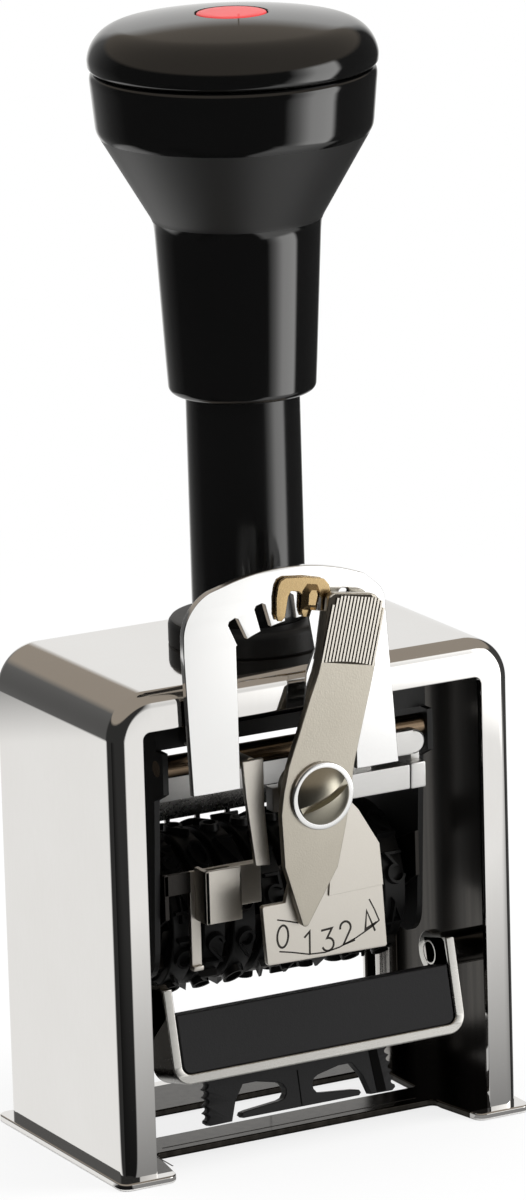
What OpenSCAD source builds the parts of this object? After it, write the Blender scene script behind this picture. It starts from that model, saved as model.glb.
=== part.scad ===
// Self-inking numbering machine for the desk: a chrome housing on an open base plate, a sprung
// black handle, and a carriage with eight number wheels, an index lever, a scale and a pawl carrier.
// The sub-parts are drawn round the handle axis with z = 0 on the base plate top, then placed.

/* [Housing] */
// width over the side walls
body_w = 60; // [59:0.5:64]
// depth from front face to back face
body_d = 34.8; // [34:0.2:37]
// height above the base plate
body_h = 65.8; // [65:0.2:69]
// sheet thickness
shell_t = 1.2; // [1:0.1:1.3]
// radius of the upper corners seen from the front
corner_r = 6; // [5:0.5:8]
// rounding of the outer edges
edge_r = 2; // [1.6:0.1:2.4]
// width of the stile beside each window
stile_w = 4.6; // [3.5:0.1:4.8]
// height of the rail above each window
rail_h = 5.2; // [4:0.1:5.4]

/* [Base plate] */
// plate thickness
base_t = 1; // [0.8:0.1:1.5]
// flange past the side walls
flange_side = 1.3; // [0.8:0.1:2]
// flange past the front and back
flange_front = 1.2; // [0.8:0.1:1.3]
// half width of the stamping opening
opening_half = 22; // [21.5:0.1:22.3]
// depth of the opening along y
opening_d = 10.1; // [10:0.1:11]

/* [Handle] */
// largest radius of the knob
knob_r = 19.2; // [17:0.2:21]
// radius of the lower grip at its top
skirt_r = 11.1; // [10.6:0.1:12]
// outer radius of the fixed guide tube
tube_r = 7.6; // [7:0.1:8]
// length of the guide tube above the housing
tube_len = 46.2; // [42:0.2:48]
// radius of the steel plunger rod
rod_r = 3; // [2.5:0.1:3.3]
// wire thickness of the return spring
spring_wire = 1; // [0.8:0.1:1.2]
// turns of the return spring
spring_turns = 15; // [10:1:18]

/* [Stroke] */
// travel of the handle down to the paper
stroke = 19.8; // [18:0.1:19.8]

/* [Number wheels] */
// number of wheels side by side
wheel_count = 8; // [8:1:8]
// spacing of the wheels
wheel_pitch = 4.6; // [4.5:0.05:4.6]
// radius of the wheel band under the type
band_r = 10.4; // [10:0.1:10.6]
// tip radius of the ratchet teeth
ratchet_r = 9.5; // [9:0.1:9.6]
// teeth of each ratchet
ratchet_teeth = 10; // [10:1:10]
// radius of the wheel shaft
shaft_r = 2; // [1.6:0.1:2.2]

/* [Index lever and comb] */
// tilt of the lever at rest, from the vertical
lever_tilt = 11.5; // [11.5:0.1:11.5]
// angle between two settings
index_step = 9; // [8:0.5:9]
// width of one comb slot
slot_w = 1.6; // [1.2:0.1:2]
// radius of the comb tooth tips about the lever pivot
comb_tip_r = 24; // [23.5:0.1:24.5]
// radius of the slot ends
comb_slot_r = 27.5; // [27:0.1:28]
// radius of the domed screw head
screw_r = 3.9; // [3.5:0.1:4.1]

/* [Ink flap] */
// half width over the stirrup arms
stirrup_half = 22.2; // [22:0.1:22.6]
// backward lean of the flap
flap_lean = 13; // [11:1:14]
// depth of the stirrup strip
strip_d = 6.5; // [6:0.1:6.6]

/* [Hidden] */
$fn = 64;
eps = 0.01;

// placing: the frame's origin lies under the middle of the bounding box
head_front_y = -23.2;
rear_y = max(body_d / 2 + flange_front, knob_r);
axis_y = -(head_front_y + rear_y) / 2;

// heights: the handle and the upper part of the carriage follow the top of the housing
usual_h = 65.8;
lift = body_h - usual_h;
tube_top = body_h + tube_len;
skirt_bottom_z = 100 + lift;
cone_bottom_z = 123.4 + lift;
cone_top_z = 134.9 + lift;
seam_z = 143.3 + lift;
edge_ball_r = 5;
edge_ball_z = seam_z + 1.1;
dome_r = 80;
dot_r = 4.66;
dot_recess = 1.2;
bore_fit = 0.08;
bore_top_z = cone_top_z + 1.1;
tube_foot_z = body_h - 3.2;
tube_bore_r = 6.2;
tube_floor_z = body_h + 0.2;
collar_r = 10.9;
collar_h = 3.5;
rod_top_z = seam_z - 2.7;
spring_r = 4.8;
spring_sides = 6;
spring_rings = 8;
spring_low_z = tube_floor_z + 0.1;
spring_high_z = bore_top_z - 0.1;
spring_gap = (spring_high_z - spring_low_z - stroke) / spring_turns - spring_wire;
echo(spring_gap_at_full_stroke = spring_gap);

// carriage
plate_in = 19.6;
plate_t = 0.8;
plate_out = plate_in + plate_t;
bridge_low_z = body_h - 9.8;
bridge_high_z = bridge_low_z + 5;
bridge_front_y = -11;
bridge_back_y = 10.4;
guide_x = 24;
guide_y = 8;
guide_r = 1.5;
fit = 0.05;
lug_r = 3;
axle_y = 2.15;
axle_z = 30;
wheel_gap = 0.2;
ratchet_w = 1.1;
wheel_low_x = -wheel_count * wheel_pitch / 2 + wheel_gap / 2;
finger_w = 0.7;
finger_x = 0.45;
finger_clear = 0.3;
cross_y = -11;
cross_drop = 2.4;
cross_z = bridge_low_z - cross_drop;
cross_r = 1.5;
rear_bar_low = 13;
rear_bar_z = axle_z + rear_bar_low;
rear_bar_front_y = 7.5;
rear_bar_h = 4;

// index lever and plates on the front
pivot_x = -1.2;
pivot_drop = 6.7;
pivot_z = bridge_low_z - pivot_drop;
boss_r = 3;
ring_r = 4.6;
lever_back_y = -20;
lever_t = 1;
arch_front_y = -18.9;
arch_t = 1;
post_left_x = -15.5;
post_right_x = 9;
post_r = 1.5;
scale_front_y = -19.7;
scale_t = 0.8;
bar_front_y = -14.5;
bar_back_y = -12.5;

// pawl carrier, drawn round the wheel axis
arm_in = 18.7;
arm_t = 0.7;
carrier_strip_y = -9.6 - axle_y;
clip_x = -1.65;
pawl_tilt = 12;

// ink flap
hinge_y = -9.8;
hinge_z = 21.1;
hinge_r = 1.45;
strip_t = 1.4;
flap_y = -17.2;
flap_z = 11.6;
arm_h = 13;
bend_r = 2.6;
ear_r = 3;
cassette_d = 3.7;
cassette_h = 8;

function arc(cx, cy, r, a0, a1, n) = [
    for (i = [0 : n]) [cx + r * cos(a0 + (a1 - a0) * i / n), cy + r * sin(a0 + (a1 - a0) * i / n)]
];

module place() {
    translate([0, axis_y, base_t]) children();
}

// upright plate: a shape in x and z, from y1 back to y2
module upright(y1, y2) {
    translate([0, y2, 0]) rotate([90, 0, 0]) linear_extrude(y2 - y1) children();
}

// cheek: a shape in y and z, from x1 to x2
module cheek(x1, x2) {
    translate([x1, 0, 0]) rotate([90, 0, 90]) linear_extrude(x2 - x1) children();
}

module bar_x(x1, x2, y, z, r) {
    translate([x1, y, z]) rotate([0, 90, 0]) cylinder(h = x2 - x1, r = r);
}

module bar_y(x, y1, y2, z, r) {
    translate([x, y2, z]) rotate([90, 0, 0]) cylinder(h = y2 - y1, r = r);
}

module box(x1, x2, y1, y2, z1, z2) {
    translate([x1, y1, z1]) cube([x2 - x1, y2 - y1, z2 - z1]);
}

// ---------------------------------------------------------------- housing
module edge_profile(reach, d, r) {
    translate([0, -d / 2 + r]) square([reach, d - 2 * r]);
    translate([0, -d / 2]) square([reach - r, d]);
    for (s = [-1, 1]) translate([reach - r, s * (d / 2 - r)]) circle(r);
}

module shell_form(w, d, h, rc, re) {
    for (m = [0, 1]) mirror([m, 0, 0]) {
        translate([w / 2 - rc, 0, 0]) linear_extrude(h - rc) edge_profile(rc, d, re);
        translate([w / 2 - rc, 0, h - rc]) rotate([90, 0, 0])
            rotate_extrude(angle = 90) edge_profile(rc, d, re);
    }
    translate([0, 0, h - rc]) rotate([0, -90, 0])
        linear_extrude(w - 2 * rc, center = true) edge_profile(rc, d, re);
    translate([-w / 2 + rc, -d / 2, 0]) cube([w - 2 * rc, d, h - rc]);
}

module window_shape() {
    half = body_w / 2 - stile_w;
    top = body_h - rail_h;
    r = 1;
    polygon(concat(
        [[-half, -1], [half, -1]],
        arc(half - r, top - r, r, 0, 90, 6),
        arc(-half + r, top - r, r, 90, 180, 6)
    ));
}

module housing() {
    color("silver") place() difference() {
        shell_form(body_w, body_d, body_h, corner_r, edge_r);
        translate([0, 0, -1]) shell_form(
            body_w - 2 * shell_t, body_d - 2 * shell_t, body_h - shell_t + 1,
            corner_r - shell_t, edge_r - shell_t
        );
        upright(-body_d, body_d) window_shape();
        translate([0, 0, body_h - 2 * shell_t]) cylinder(h = 3 * shell_t, r = tube_r);
    }
}

module base_plate() {
    half_x = body_w / 2 + flange_side;
    half_y = body_d / 2 + flange_front;
    foot_r = 1.5;
    bar_y1 = -9;
    notch_out = 22.9;
    notch_in = 21;
    opening_y = -2.9;
    color("silver") place() translate([0, 0, -base_t]) linear_extrude(base_t) difference() {
        union() {
            square([2 * half_x, 2 * (half_y - foot_r)], center = true);
            square([2 * (half_x - foot_r), 2 * half_y], center = true);
            for (sx = [-1, 1], sy = [-1, 1])
                translate([sx * (half_x - foot_r), sy * (half_y - foot_r)]) circle(foot_r);
        }
        polygon([
            [-notch_out - 1, -half_y - 1], [-notch_out - 1, -half_y], [-notch_out - 0.3, -half_y + 0.3],
            [-notch_out, -half_y + 1], [-notch_in - 0.2, bar_y1 - 1], [-notch_in + 0.5, bar_y1],
            [notch_in - 0.5, bar_y1], [notch_in + 0.2, bar_y1 - 1], [notch_out, -half_y + 1],
            [notch_out + 0.3, -half_y + 0.3], [notch_out + 1, -half_y], [notch_out + 1, -half_y - 1]
        ]);
        translate([-opening_half, opening_y]) square([2 * opening_half, opening_d]);
    }
}

// ---------------------------------------------------------------- handle
module guide_collar() {
    bevel = 0.5;
    color("dimgray") place() translate([0, 0, body_h]) difference() {
        rotate_extrude() polygon([
            [0, 0], [collar_r, 0], [collar_r, collar_h - bevel], [collar_r - bevel, collar_h], [0, collar_h]
        ]);
        translate([0, 0, -1]) cylinder(h = collar_h + 2, r = tube_r);
    }
}

module guide_tube() {
    foot_r = 10;
    color("dimgray") place() difference() {
        union() {
            translate([0, 0, tube_foot_z]) cylinder(h = tube_top - tube_foot_z, r = tube_r);
            translate([0, 0, tube_foot_z]) cylinder(h = body_h - shell_t - tube_foot_z, r = foot_r);
        }
        translate([0, 0, tube_floor_z]) cylinder(h = tube_top, r = tube_bore_r);
        translate([0, 0, tube_foot_z - 1]) cylinder(h = tube_top, r = rod_r + fit);
    }
}

module guide_rods() {
    color("lightgray") place() for (s = [-1, 1])
        translate([s * guide_x, guide_y, 0]) cylinder(h = body_h - shell_t, r = guide_r);
}

module stirrup_pins() {
    collar_x = stirrup_half + 0.3;
    color("lightgray") place() for (s = [0, 1]) mirror([s, 0, 0]) {
        bar_x(stirrup_half - strip_t, body_w / 2 - shell_t, hinge_y, hinge_z, hinge_r);
        bar_x(collar_x, body_w / 2 - shell_t, hinge_y, hinge_z, hinge_r + 0.9);
    }
}

module return_spring() {
    n = spring_turns * spring_rings;
    rise = spring_high_z - spring_low_z - spring_wire;
    function ring(k) = let (a = 360 * k / spring_rings, z = spring_low_z + spring_wire / 2 + rise * k / n) [
        for (j = [0 : spring_sides - 1]) let (b = 360 * j / spring_sides, r = spring_r + spring_wire / 2 * cos(b))
            [r * cos(a), r * sin(a), z + spring_wire / 2 * sin(b)]
    ];
    points = [for (k = [0 : n]) each ring(k)];
    function at(k, j) = k * spring_sides + j % spring_sides;
    sides = [
        for (k = [0 : n - 1], j = [0 : spring_sides - 1]) each [
            [at(k, j), at(k + 1, j), at(k + 1, j + 1)],
            [at(k, j), at(k + 1, j + 1), at(k, j + 1)]
        ]
    ];
    low = [for (j = [0 : spring_sides - 1]) at(0, j)];
    high = [for (j = [spring_sides - 1 : -1 : 0]) at(n, j)];
    color("gray") place() polyhedron(points, concat(sides, [low, high]), convexity = 10);
}

// half profile of the knob above the seam
module cap_profile() {
    ball_x = knob_r - edge_ball_r;
    tangent = asin(ball_x / (dome_r - edge_ball_r));
    dome_z = edge_ball_z - (dome_r - edge_ball_r) * cos(tangent);
    chamfer = 0.5;
    difference() {
        union() {
            intersection() {
                translate([0, dome_z]) circle(dome_r, $fn = 360);
                polygon([[0, dome_z], [2 * dome_r * sin(tangent), dome_z + 2 * dome_r * cos(tangent)],
                    [0, dome_z + 2 * dome_r]]);
            }
            translate([ball_x, edge_ball_z]) circle(edge_ball_r);
            translate([0, edge_ball_z - edge_ball_r]) square([ball_x, 2 * edge_ball_r - 1]);
        }
        translate([-2 * knob_r, dome_z - 2 * knob_r]) square([2 * knob_r, 6 * knob_r]);
        translate([-knob_r, dome_z - 2 * dome_r]) square([3 * knob_r, seam_z - dome_z + 2 * dome_r]);
        polygon([[knob_r + 1, seam_z - 1], [knob_r - 1, seam_z - eps], [knob_r - 1, seam_z],
            [knob_r + 1, seam_z + 2 * chamfer]]);
    }
}

function cap_top() = edge_ball_z - (dome_r - edge_ball_r)
    * cos(asin((knob_r - edge_ball_r) / (dome_r - edge_ball_r))) + dome_r;

module knob_cap() {
    color("black") place() difference() {
        rotate_extrude($fn = 128) cap_profile();
        translate([0, 0, cap_top() - dot_recess]) cylinder(h = dome_r, r = dot_r + 0.15);
    }
}

module top_dot() {
    color("crimson") place() translate([0, 0, cap_top() - dot_recess]) cylinder(h = dot_recess - 0.3, r = dot_r);
}

module handle_grip() {
    lip = 0.9;
    color("black") place() difference() {
        rotate_extrude($fn = 128) polygon([
            [0, skirt_bottom_z], [skirt_r - 1.2 - lip, skirt_bottom_z],
            [skirt_r - 1.45, skirt_bottom_z + 0.3], [skirt_r - 1.25, skirt_bottom_z + lip],
            [skirt_r - 0.1, cone_bottom_z - 1.8], [skirt_r + 0.05, cone_bottom_z - 0.4],
            [skirt_r + 0.4, cone_bottom_z + 0.5],
            [knob_r - 1.2, cone_top_z], [knob_r - 0.92, cone_top_z + 0.5], [knob_r - 0.82, cone_top_z + 1.1],
            [knob_r - 0.28, seam_z - 1.4], [knob_r - 0.36, seam_z - 0.6], [knob_r - 1, seam_z], [0, seam_z]
        ]);
        translate([0, 0, skirt_bottom_z - 1])
            cylinder(h = bore_top_z - skirt_bottom_z + 1, r = tube_r + bore_fit);
        cylinder(h = rod_top_z, r = rod_r);
    }
}

module plunger_rod() {
    color("lightgray") place() translate([0, 0, bridge_low_z]) cylinder(h = rod_top_z - bridge_low_z, r = rod_r);
}

// ---------------------------------------------------------------- carriage
module carriage_bridge() {
    lug_h = bridge_high_z - bridge_low_z;
    lug_out = guide_x + lug_r;
    color("dimgray") place() difference() {
        union() {
            box(-plate_out, plate_out, bridge_front_y, bridge_back_y, bridge_low_z, bridge_high_z);
            for (s = [-1, 1]) {
                translate([s * guide_x, guide_y, bridge_low_z]) cylinder(h = lug_h, r = lug_r);
                box(min(s * plate_out, s * guide_x), max(s * plate_out, s * guide_x),
                    guide_y - lug_r + 0.6, guide_y + lug_r - 0.6, bridge_low_z, bridge_high_z);
            }
        }
        for (s = [-1, 1]) translate([s * guide_x, guide_y, 0]) cylinder(h = 2 * bridge_high_z, r = guide_r + fit);
        cylinder(h = 2 * bridge_high_z, r = rod_r);
        translate([0, bridge_front_y, bridge_low_z + lug_h / 2]) cube([30, 2, 0.8], center = true);
    }
}

module side_shape() {
    neck_z = bridge_low_z - 7;
    difference() {
        polygon(concat(
            [[-12.9, bridge_low_z], [-12.9, neck_z + 1.4], [-10.2, neck_z], [-9.93, 43.7], [-8.95, 27.6]],
            arc(-5.2, 27, 3.6, 190, 265, 6),
            [[8.5, 23.4], [9.8, 24.5], [bridge_back_y, 27], [bridge_back_y, bridge_low_z]]
        ));
        translate([axle_y, axle_z]) circle(shaft_r);
        translate([cross_y, cross_z]) circle(cross_r - 0.4);
        translate([3, neck_z - 1]) circle(3);
    }
}

module side_plate_left() {
    color("gray") place() cheek(-plate_out, -plate_in) side_shape();
}

module side_plate_right() {
    color("gray") place() cheek(plate_in, plate_out) side_shape();
}

module front_bracket() {
    low_z = pivot_z - 3.4;
    high_z = pivot_z;
    right_x = 18.4;
    top_low_z = pivot_z + 1.2;
    top_high_z = top_low_z + high_z - low_z;
    joint_x = 15.9;
    back_y = -8.4;
    web_z = top_low_z + 1.1;
    bar_left_x = -5;
    color("lightgray") place() difference() {
        union() {
            box(bar_left_x, right_x, bar_front_y, bar_back_y, low_z, high_z);
            box(6, joint_x, bar_front_y + 0.3, bar_back_y - 0.1, top_low_z, top_high_z);
            bar_y(right_x - 1.6, bar_front_y + 0.3, bar_back_y - 0.1, (top_low_z + top_high_z) / 2,
                (top_high_z - top_low_z) / 2);
            box(joint_x - 1, right_x - 1.6, bar_front_y + 0.3, bar_back_y - 0.1, top_low_z, top_high_z);
            box(right_x - 1.4, right_x, bar_back_y - 0.1, back_y, low_z, web_z);
            box(right_x - 1.4, plate_in, back_y - 1.5, back_y, low_z, web_z);
            box(7, 11, bar_back_y - 0.1, bar_back_y + 1, low_z, web_z);
        }
        bar_y(pivot_x, bar_front_y - 1, bar_back_y + 1, pivot_z, 1.4);
        box(joint_x, joint_x + 0.25, bar_front_y - 1, bar_front_y + 0.25, low_z - 1, high_z + 1);
    }
}

module rear_bar() {
    color("gray") place() box(-plate_in, plate_in, rear_bar_front_y, bridge_back_y - 0.4,
        rear_bar_z, rear_bar_z + rear_bar_h);
}

module cross_shaft() {
    color("lightgray") place() {
        bar_x(-plate_in, plate_in, cross_y, cross_z, cross_r);
        for (x = [-plate_out, plate_in]) bar_x(x, x + plate_t, cross_y, cross_z, cross_r - 0.4);
    }
}

module stop_strip() {
    front_y = -17.25;
    back_y = -16.55;
    pin_x = -9.2;
    color("lightgray") place() difference() {
        union() {
            upright(front_y, back_y) translate([0, cross_z])
                polygon([[-10.8, 0.9], [-10.5, -4], [-9.3, -13.6], [-7.1, -13.8], [-7.7, -5.6], [-7.7, 0.9]]);
            bar_y(pin_x, back_y, cross_y, cross_z, 1);
        }
        bar_x(-plate_in, plate_in, cross_y, cross_z, cross_r);
    }
}

module wheel_shaft() {
    color("lightgray") place() bar_x(-plate_out - 0.2, plate_out + 0.2, axle_y, axle_z, shaft_r);
}

function wheel_x(i) = wheel_low_x + i * wheel_pitch;

module number_wheel(i) {
    x0 = wheel_x(i) + ratchet_w;
    x1 = wheel_x(i) + wheel_pitch - wheel_gap;
    color("black") place() difference() {
        bar_x(x0, x1, axle_y, axle_z, band_r);
        bar_x(x0 - 1, x1 + 1, axle_y, axle_z, shaft_r + fit);
    }
}

module ratchet(i) {
    step = 360 / ratchet_teeth;
    root_r = ratchet_r - 1.3;
    color("dimgray") place() translate([0, axle_y, axle_z]) difference() {
        cheek(wheel_x(i), wheel_x(i) + ratchet_w) polygon([
            for (k = [0 : ratchet_teeth - 1]) each [
                [ratchet_r * cos(k * step), ratchet_r * sin(k * step)],
                [(ratchet_r - 0.1) * cos((k + 0.12) * step), (ratchet_r - 0.1) * sin((k + 0.12) * step)],
                [root_r * cos((k + 0.93) * step), root_r * sin((k + 0.93) * step)]
            ]
        ]);
        bar_x(wheel_x(i) - 1, wheel_x(i) + ratchet_w + 1, 0, 0, shaft_r + fit);
    }
}

// comb of leaf springs resting over the ratchets from behind
module detent_springs() {
    y1 = 8.9;
    y2 = 9.3;
    tip_z = axle_z + sqrt(pow(ratchet_r + finger_clear, 2) - pow(y1 - axle_y, 2));
    root_z = 40;
    color("lightgray") place() {
        box(wheel_x(0), wheel_x(wheel_count - 1) + ratchet_w, y1, y2, root_z, rear_bar_z);
        for (i = [0 : wheel_count - 1])
            box(wheel_x(i) + finger_x - finger_w / 2, wheel_x(i) + finger_x + finger_w / 2, y1, y2, tip_z, root_z);
    }
}

// ---------------------------------------------------------------- pawl carrier
module carrier_arm_shape() {
    difference() {
        union() {
            circle(4.6);
            polygon([[-0.5, -4.4], [carrier_strip_y - 0.7, 2.4], [carrier_strip_y - 0.7, 8.6], [-0.5, 4.4]]);
            rotate(pawl_tilt) polygon([[0.5, -4.4], [13.4, -1.6], [13.4, 1.6], [0.5, 4.4]]);
        }
        circle(shaft_r + fit);
    }
}

module pawl_carrier() {
    color("lightgray") place() translate([0, axle_y, axle_z]) {
        for (s = [0, 1]) mirror([s, 0, 0]) cheek(arm_in, arm_in + arm_t) carrier_arm_shape();
        rotate([pawl_tilt, 0, 0]) box(-arm_in - arm_t, arm_in + arm_t, 12.6, 13.4, -1.6, 1.6);
        // strip behind the block, the block with its left cheek, the stepped tab and the hanging tail
        box(-arm_in - arm_t, -14.2, carrier_strip_y - 0.7, carrier_strip_y, 5.6, 8.5);
        box(-15.6, -5.4, carrier_strip_y - 0.7, carrier_strip_y, 3, 8.5);
        box(-14.9, -9.5, -15.65, -14.95, 1.8, 9.1);
        box(-14.9, -14.2, -15.65, carrier_strip_y - 0.7, 1.8, 9.1);
        box(-9.9, -9.5, -15.65, carrier_strip_y - 0.7, 3, 8.5);
        box(-9.5, -5.4, -13.45, carrier_strip_y - 0.7, 3, 8.5);
        box(-15.6, -14.1, carrier_strip_y - 0.7, carrier_strip_y, -5.2, 3);
    }
}

module feed_pawl() {
    tip = ratchet_r + finger_clear;
    color("gray") place() translate([0, axle_y, axle_z]) rotate([pawl_tilt, 0, 0]) {
        box(wheel_x(0), wheel_x(wheel_count - 1) + ratchet_w, 11.9, 12.6, -1.3, 1.3);
        for (i = [0 : wheel_count - 1])
            box(wheel_x(i) + finger_x - finger_w / 2, wheel_x(i) + finger_x + finger_w / 2, tip, 11.9, -0.8, 0.8);
    }
}

// ---------------------------------------------------------------- plates and lever on the front
module arch_shape() {
    centre_z = pivot_z - lift;
    top_r = 31.2;
    top_x = -5;
    top_z = 49.1;
    win_left = -12.1;
    win_right = 5.4;
    difference() {
        intersection() {
            union() {
                polygon(concat(
                    [[-19.1, 51.4], [-19.9, 70.5]],
                    arc(-13.3, 72.4, 6.6, 174, 110, 8),
                    arc(6.9, 73.6, 3.4, 70, -4, 8),
                    [[11.75, 51.4]]
                ));
                intersection() {
                    translate([top_x, top_z]) circle(top_r, $fn = 180);
                    polygon([[-15.6, 72], [-15.6, 78.6], [-12, 90], [6, 90], [8.06, 76.8], [8, 72]]);
                }
            }
            translate([top_x, top_z]) circle(top_r, $fn = 180);
        }
        intersection() {
            translate([pivot_x, centre_z]) circle(comb_tip_r, $fn = 180);
            translate([win_left, 40]) square([win_right - win_left, 50]);
        }
        for (k = [-3 : 1]) translate([pivot_x, centre_z]) rotate(-(lever_tilt - index_step + k * index_step)) {
            translate([-slot_w / 2, comb_tip_r - 3]) square([slot_w, comb_slot_r - comb_tip_r + 3 - 0.3]);
            translate([-slot_w / 2 + 0.3, comb_tip_r]) square([slot_w - 0.6, comb_slot_r - comb_tip_r]);
        }
    }
}

module arch_plate() {
    color("white") place() upright(arch_front_y, arch_front_y + arch_t)
        translate([0, lift]) arch_shape();
}

module arch_posts() {
    color("lightgray") place() {
        for (x = [post_left_x, post_right_x])
            bar_y(x, arch_front_y + arch_t, bridge_front_y, bridge_low_z + 1.6, post_r);
    }
}

module scale_shape() {
    centre_z = pivot_z - lift;
    difference() {
        union() {
            polygon([[-9.9, 35.1], [-9.3, 26.8], [8.85, 26.5], [8.4, 34.9], [7.95, 41], [4.9, 46.2], [1.6, 49],
                [-4, 49], [-4.6, 41], [-6.4, 35.1]]);
            translate([pivot_x, centre_z]) circle(4.3);
        }
        translate([pivot_x, centre_z]) circle(boss_r);
    }
}

module scale_plate() {
    color("linen") place() upright(scale_front_y, scale_front_y + scale_t)
        translate([0, lift]) scale_shape();
}

module pivot_boss() {
    color("gray") place() difference() {
        bar_y(pivot_x, -21.05, bar_front_y, pivot_z, boss_r);
        bar_y(pivot_x, -22, bar_front_y + 1, pivot_z, 1.4);
    }
}

module pivot_ring() {
    color("white") place() difference() {
        bar_y(pivot_x, -21.55, -21.05, pivot_z, ring_r);
        bar_y(pivot_x, -22, -21, pivot_z, 1.4);
    }
}

module pivot_screw() {
    head_h = 1.65;
    slot_depth = 1.5;
    slot_t = 0.95;
    slot_turn = 25;
    ball_r = (screw_r * screw_r + head_h * head_h) / (2 * head_h);
    color("darkkhaki") place() {
        bar_y(pivot_x, -21.55, bar_back_y, pivot_z, 1.4);
        difference() {
            intersection() {
                translate([pivot_x, head_front_y + ball_r, pivot_z]) sphere(ball_r, $fn = 96);
                bar_y(pivot_x, head_front_y - 1, -21.55, pivot_z, screw_r + 1);
            }
            translate([pivot_x, head_front_y, pivot_z]) rotate([0, -slot_turn, 0])
                cube([20, 2 * slot_depth, slot_t], center = true);
        }
    }
}

// turns a shape drawn along the lever's own axis to the resting tilt
module along_lever(y1, y2) {
    translate([pivot_x, 0, pivot_z]) rotate([0, lever_tilt, 0]) upright(y1, y2) children();
}

module lever_shape() {
    difference() {
        polygon(concat(
            [[-3.06, 17.8], [-3.44, 26.2]], arc(-2.54, 26.2, 0.9, 180, 95, 4),
            arc(2.8, 25.6, 1.75, 90, 0, 6),
            [[5.15, 17.5], [5, 14.5], [4.77, 12.1], [4.3, 4.7], [4.46, -4.1], [4.2, -9.5]],
            arc(0.62, -17.3, 0.55, -25, -155, 4),
            [[-3.86, -10], [-5.6, -3], [-5.75, 0], [-5.6, 3.6], [-4.6, 9.2], [-3.9, 13]]
        ));
        circle(boss_r + fit);
    }
}

module index_lever() {
    color("tan") place() along_lever(lever_back_y - lever_t, lever_back_y) lever_shape();
}

module index_leaf() {
    color("lightgray") place() along_lever(lever_back_y, lever_back_y + 0.4)
        polygon([[-5.4, 23.4], [-3.85, 19.3], [-4.5, 15.9], [-3.6, 8], [3.5, 8], [3.5, 24.5], [-5.2, 24.5]]);
}

module tongue_shape() {
    polygon([[-10.5, 25.6], [-10.5, 27.3], [-10.2, 28], [-9.5, 28.4], [-6.5, 28.7], [-3.7, 28.6], [-2.8, 27.9],
        [-2.4, 26.8], [0, 26.4], [2.5, 26.2], [2.5, 22.6], [-3.2, 22.6], [-3.6, 26], [-4.2, 26.4], [-4.3, 24],
        [-4.7, 23.4], [-6, 23.4], [-6.4, 24], [-6.6, 26.2], [-7.2, 26.7], [-8.4, 26.7], [-8.7, 25.9],
        [-8.7, 23.2], [-9.1, 22.6], [-9.7, 22.6], [-10.1, 23.3]]);
}

module index_tongue() {
    color("goldenrod") place() along_lever(lever_back_y + 0.4, lever_back_y + 0.8) tongue_shape();
}

// ---------------------------------------------------------------- ink flap
module on_flap() {
    translate([0, flap_y, flap_z]) rotate([-flap_lean, 0, 0]) children();
}

module u_shape(half, h, r) {
    polygon(concat(
        [[-half, h]], arc(-half + r, r, r, 180, 270, 6), arc(half - r, r, r, 270, 360, 6), [[half, h]]
    ));
}

module ink_stirrup() {
    // hinge place in the flap's own y and z
    dy = hinge_y - flap_y;
    dz = hinge_z - flap_z;
    ey = dy * cos(flap_lean) - dz * sin(flap_lean);
    ez = dy * sin(flap_lean) + dz * cos(flap_lean);
    color("silver") place() on_flap() difference() {
        union() {
            difference() {
                upright(0, strip_d) u_shape(stirrup_half, arm_h, bend_r);
                upright(-1, strip_d + 1) translate([0, strip_t])
                    u_shape(stirrup_half - strip_t, arm_h, bend_r - strip_t);
                translate([-stirrup_half - 1, strip_d, arm_h + 3.6]) rotate([0, 90, 0])
                    cylinder(h = 2 * stirrup_half + 2, r = 4.2);
            }
            for (s = [0, 1]) mirror([s, 0, 0])
                bar_x(stirrup_half - strip_t, stirrup_half, ey, ez, ear_r);
        }
        bar_x(-stirrup_half - 1, stirrup_half + 1, ey, ez, hinge_r + fit);
    }
}

module ink_cassette() {
    half = stirrup_half - strip_t - 0.2;
    color("black") place() on_flap() difference() {
        upright(0.15, cassette_d) translate([0, strip_t]) u_shape(half, cassette_h, 1.2);
        box(-18.6, 18.6, cassette_d - 1.6, cassette_d + 1, strip_t + 0.9, strip_t + cassette_h - 0.9);
    }
}

module ink_pad() {
    color("midnightblue") place() on_flap()
        box(-18.5, 18.5, cassette_d - 1.6, cassette_d - 0.1, strip_t + 1, strip_t + cassette_h - 1);
}

module clip_shape() {
    half = [[13.6, 0], [13.9, -3], [14.4, -6.1], [13.9, -6.5], [10.6, -6.45], [9.7, -3.8], [8.3, -1.8],
        [6.3, -1.8], [3, -2.5], [2.3, -2.9], [2, -3.6], [2.2, -4.4], [3, -4.9], [8.2, -5.4], [8.9, -5.6],
        [9.1, -6], [8.7, -6.35]];
    count = len(half);
    difference() {
        polygon(concat(half, [for (i = [count - 1 : -1 : 0]) [-half[i][0], half[i][1]]]));
        for (s = [-1, 1], k = [0 : 4]) translate([s * (14 + 0.1 * k), -1.1 - 1.05 * k]) circle(0.42, $fn = 24);
    }
}

module cassette_clip() {
    color("black") place() on_flap() upright(4.7, 6.3) translate([clip_x, 0]) clip_shape();
}

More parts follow.
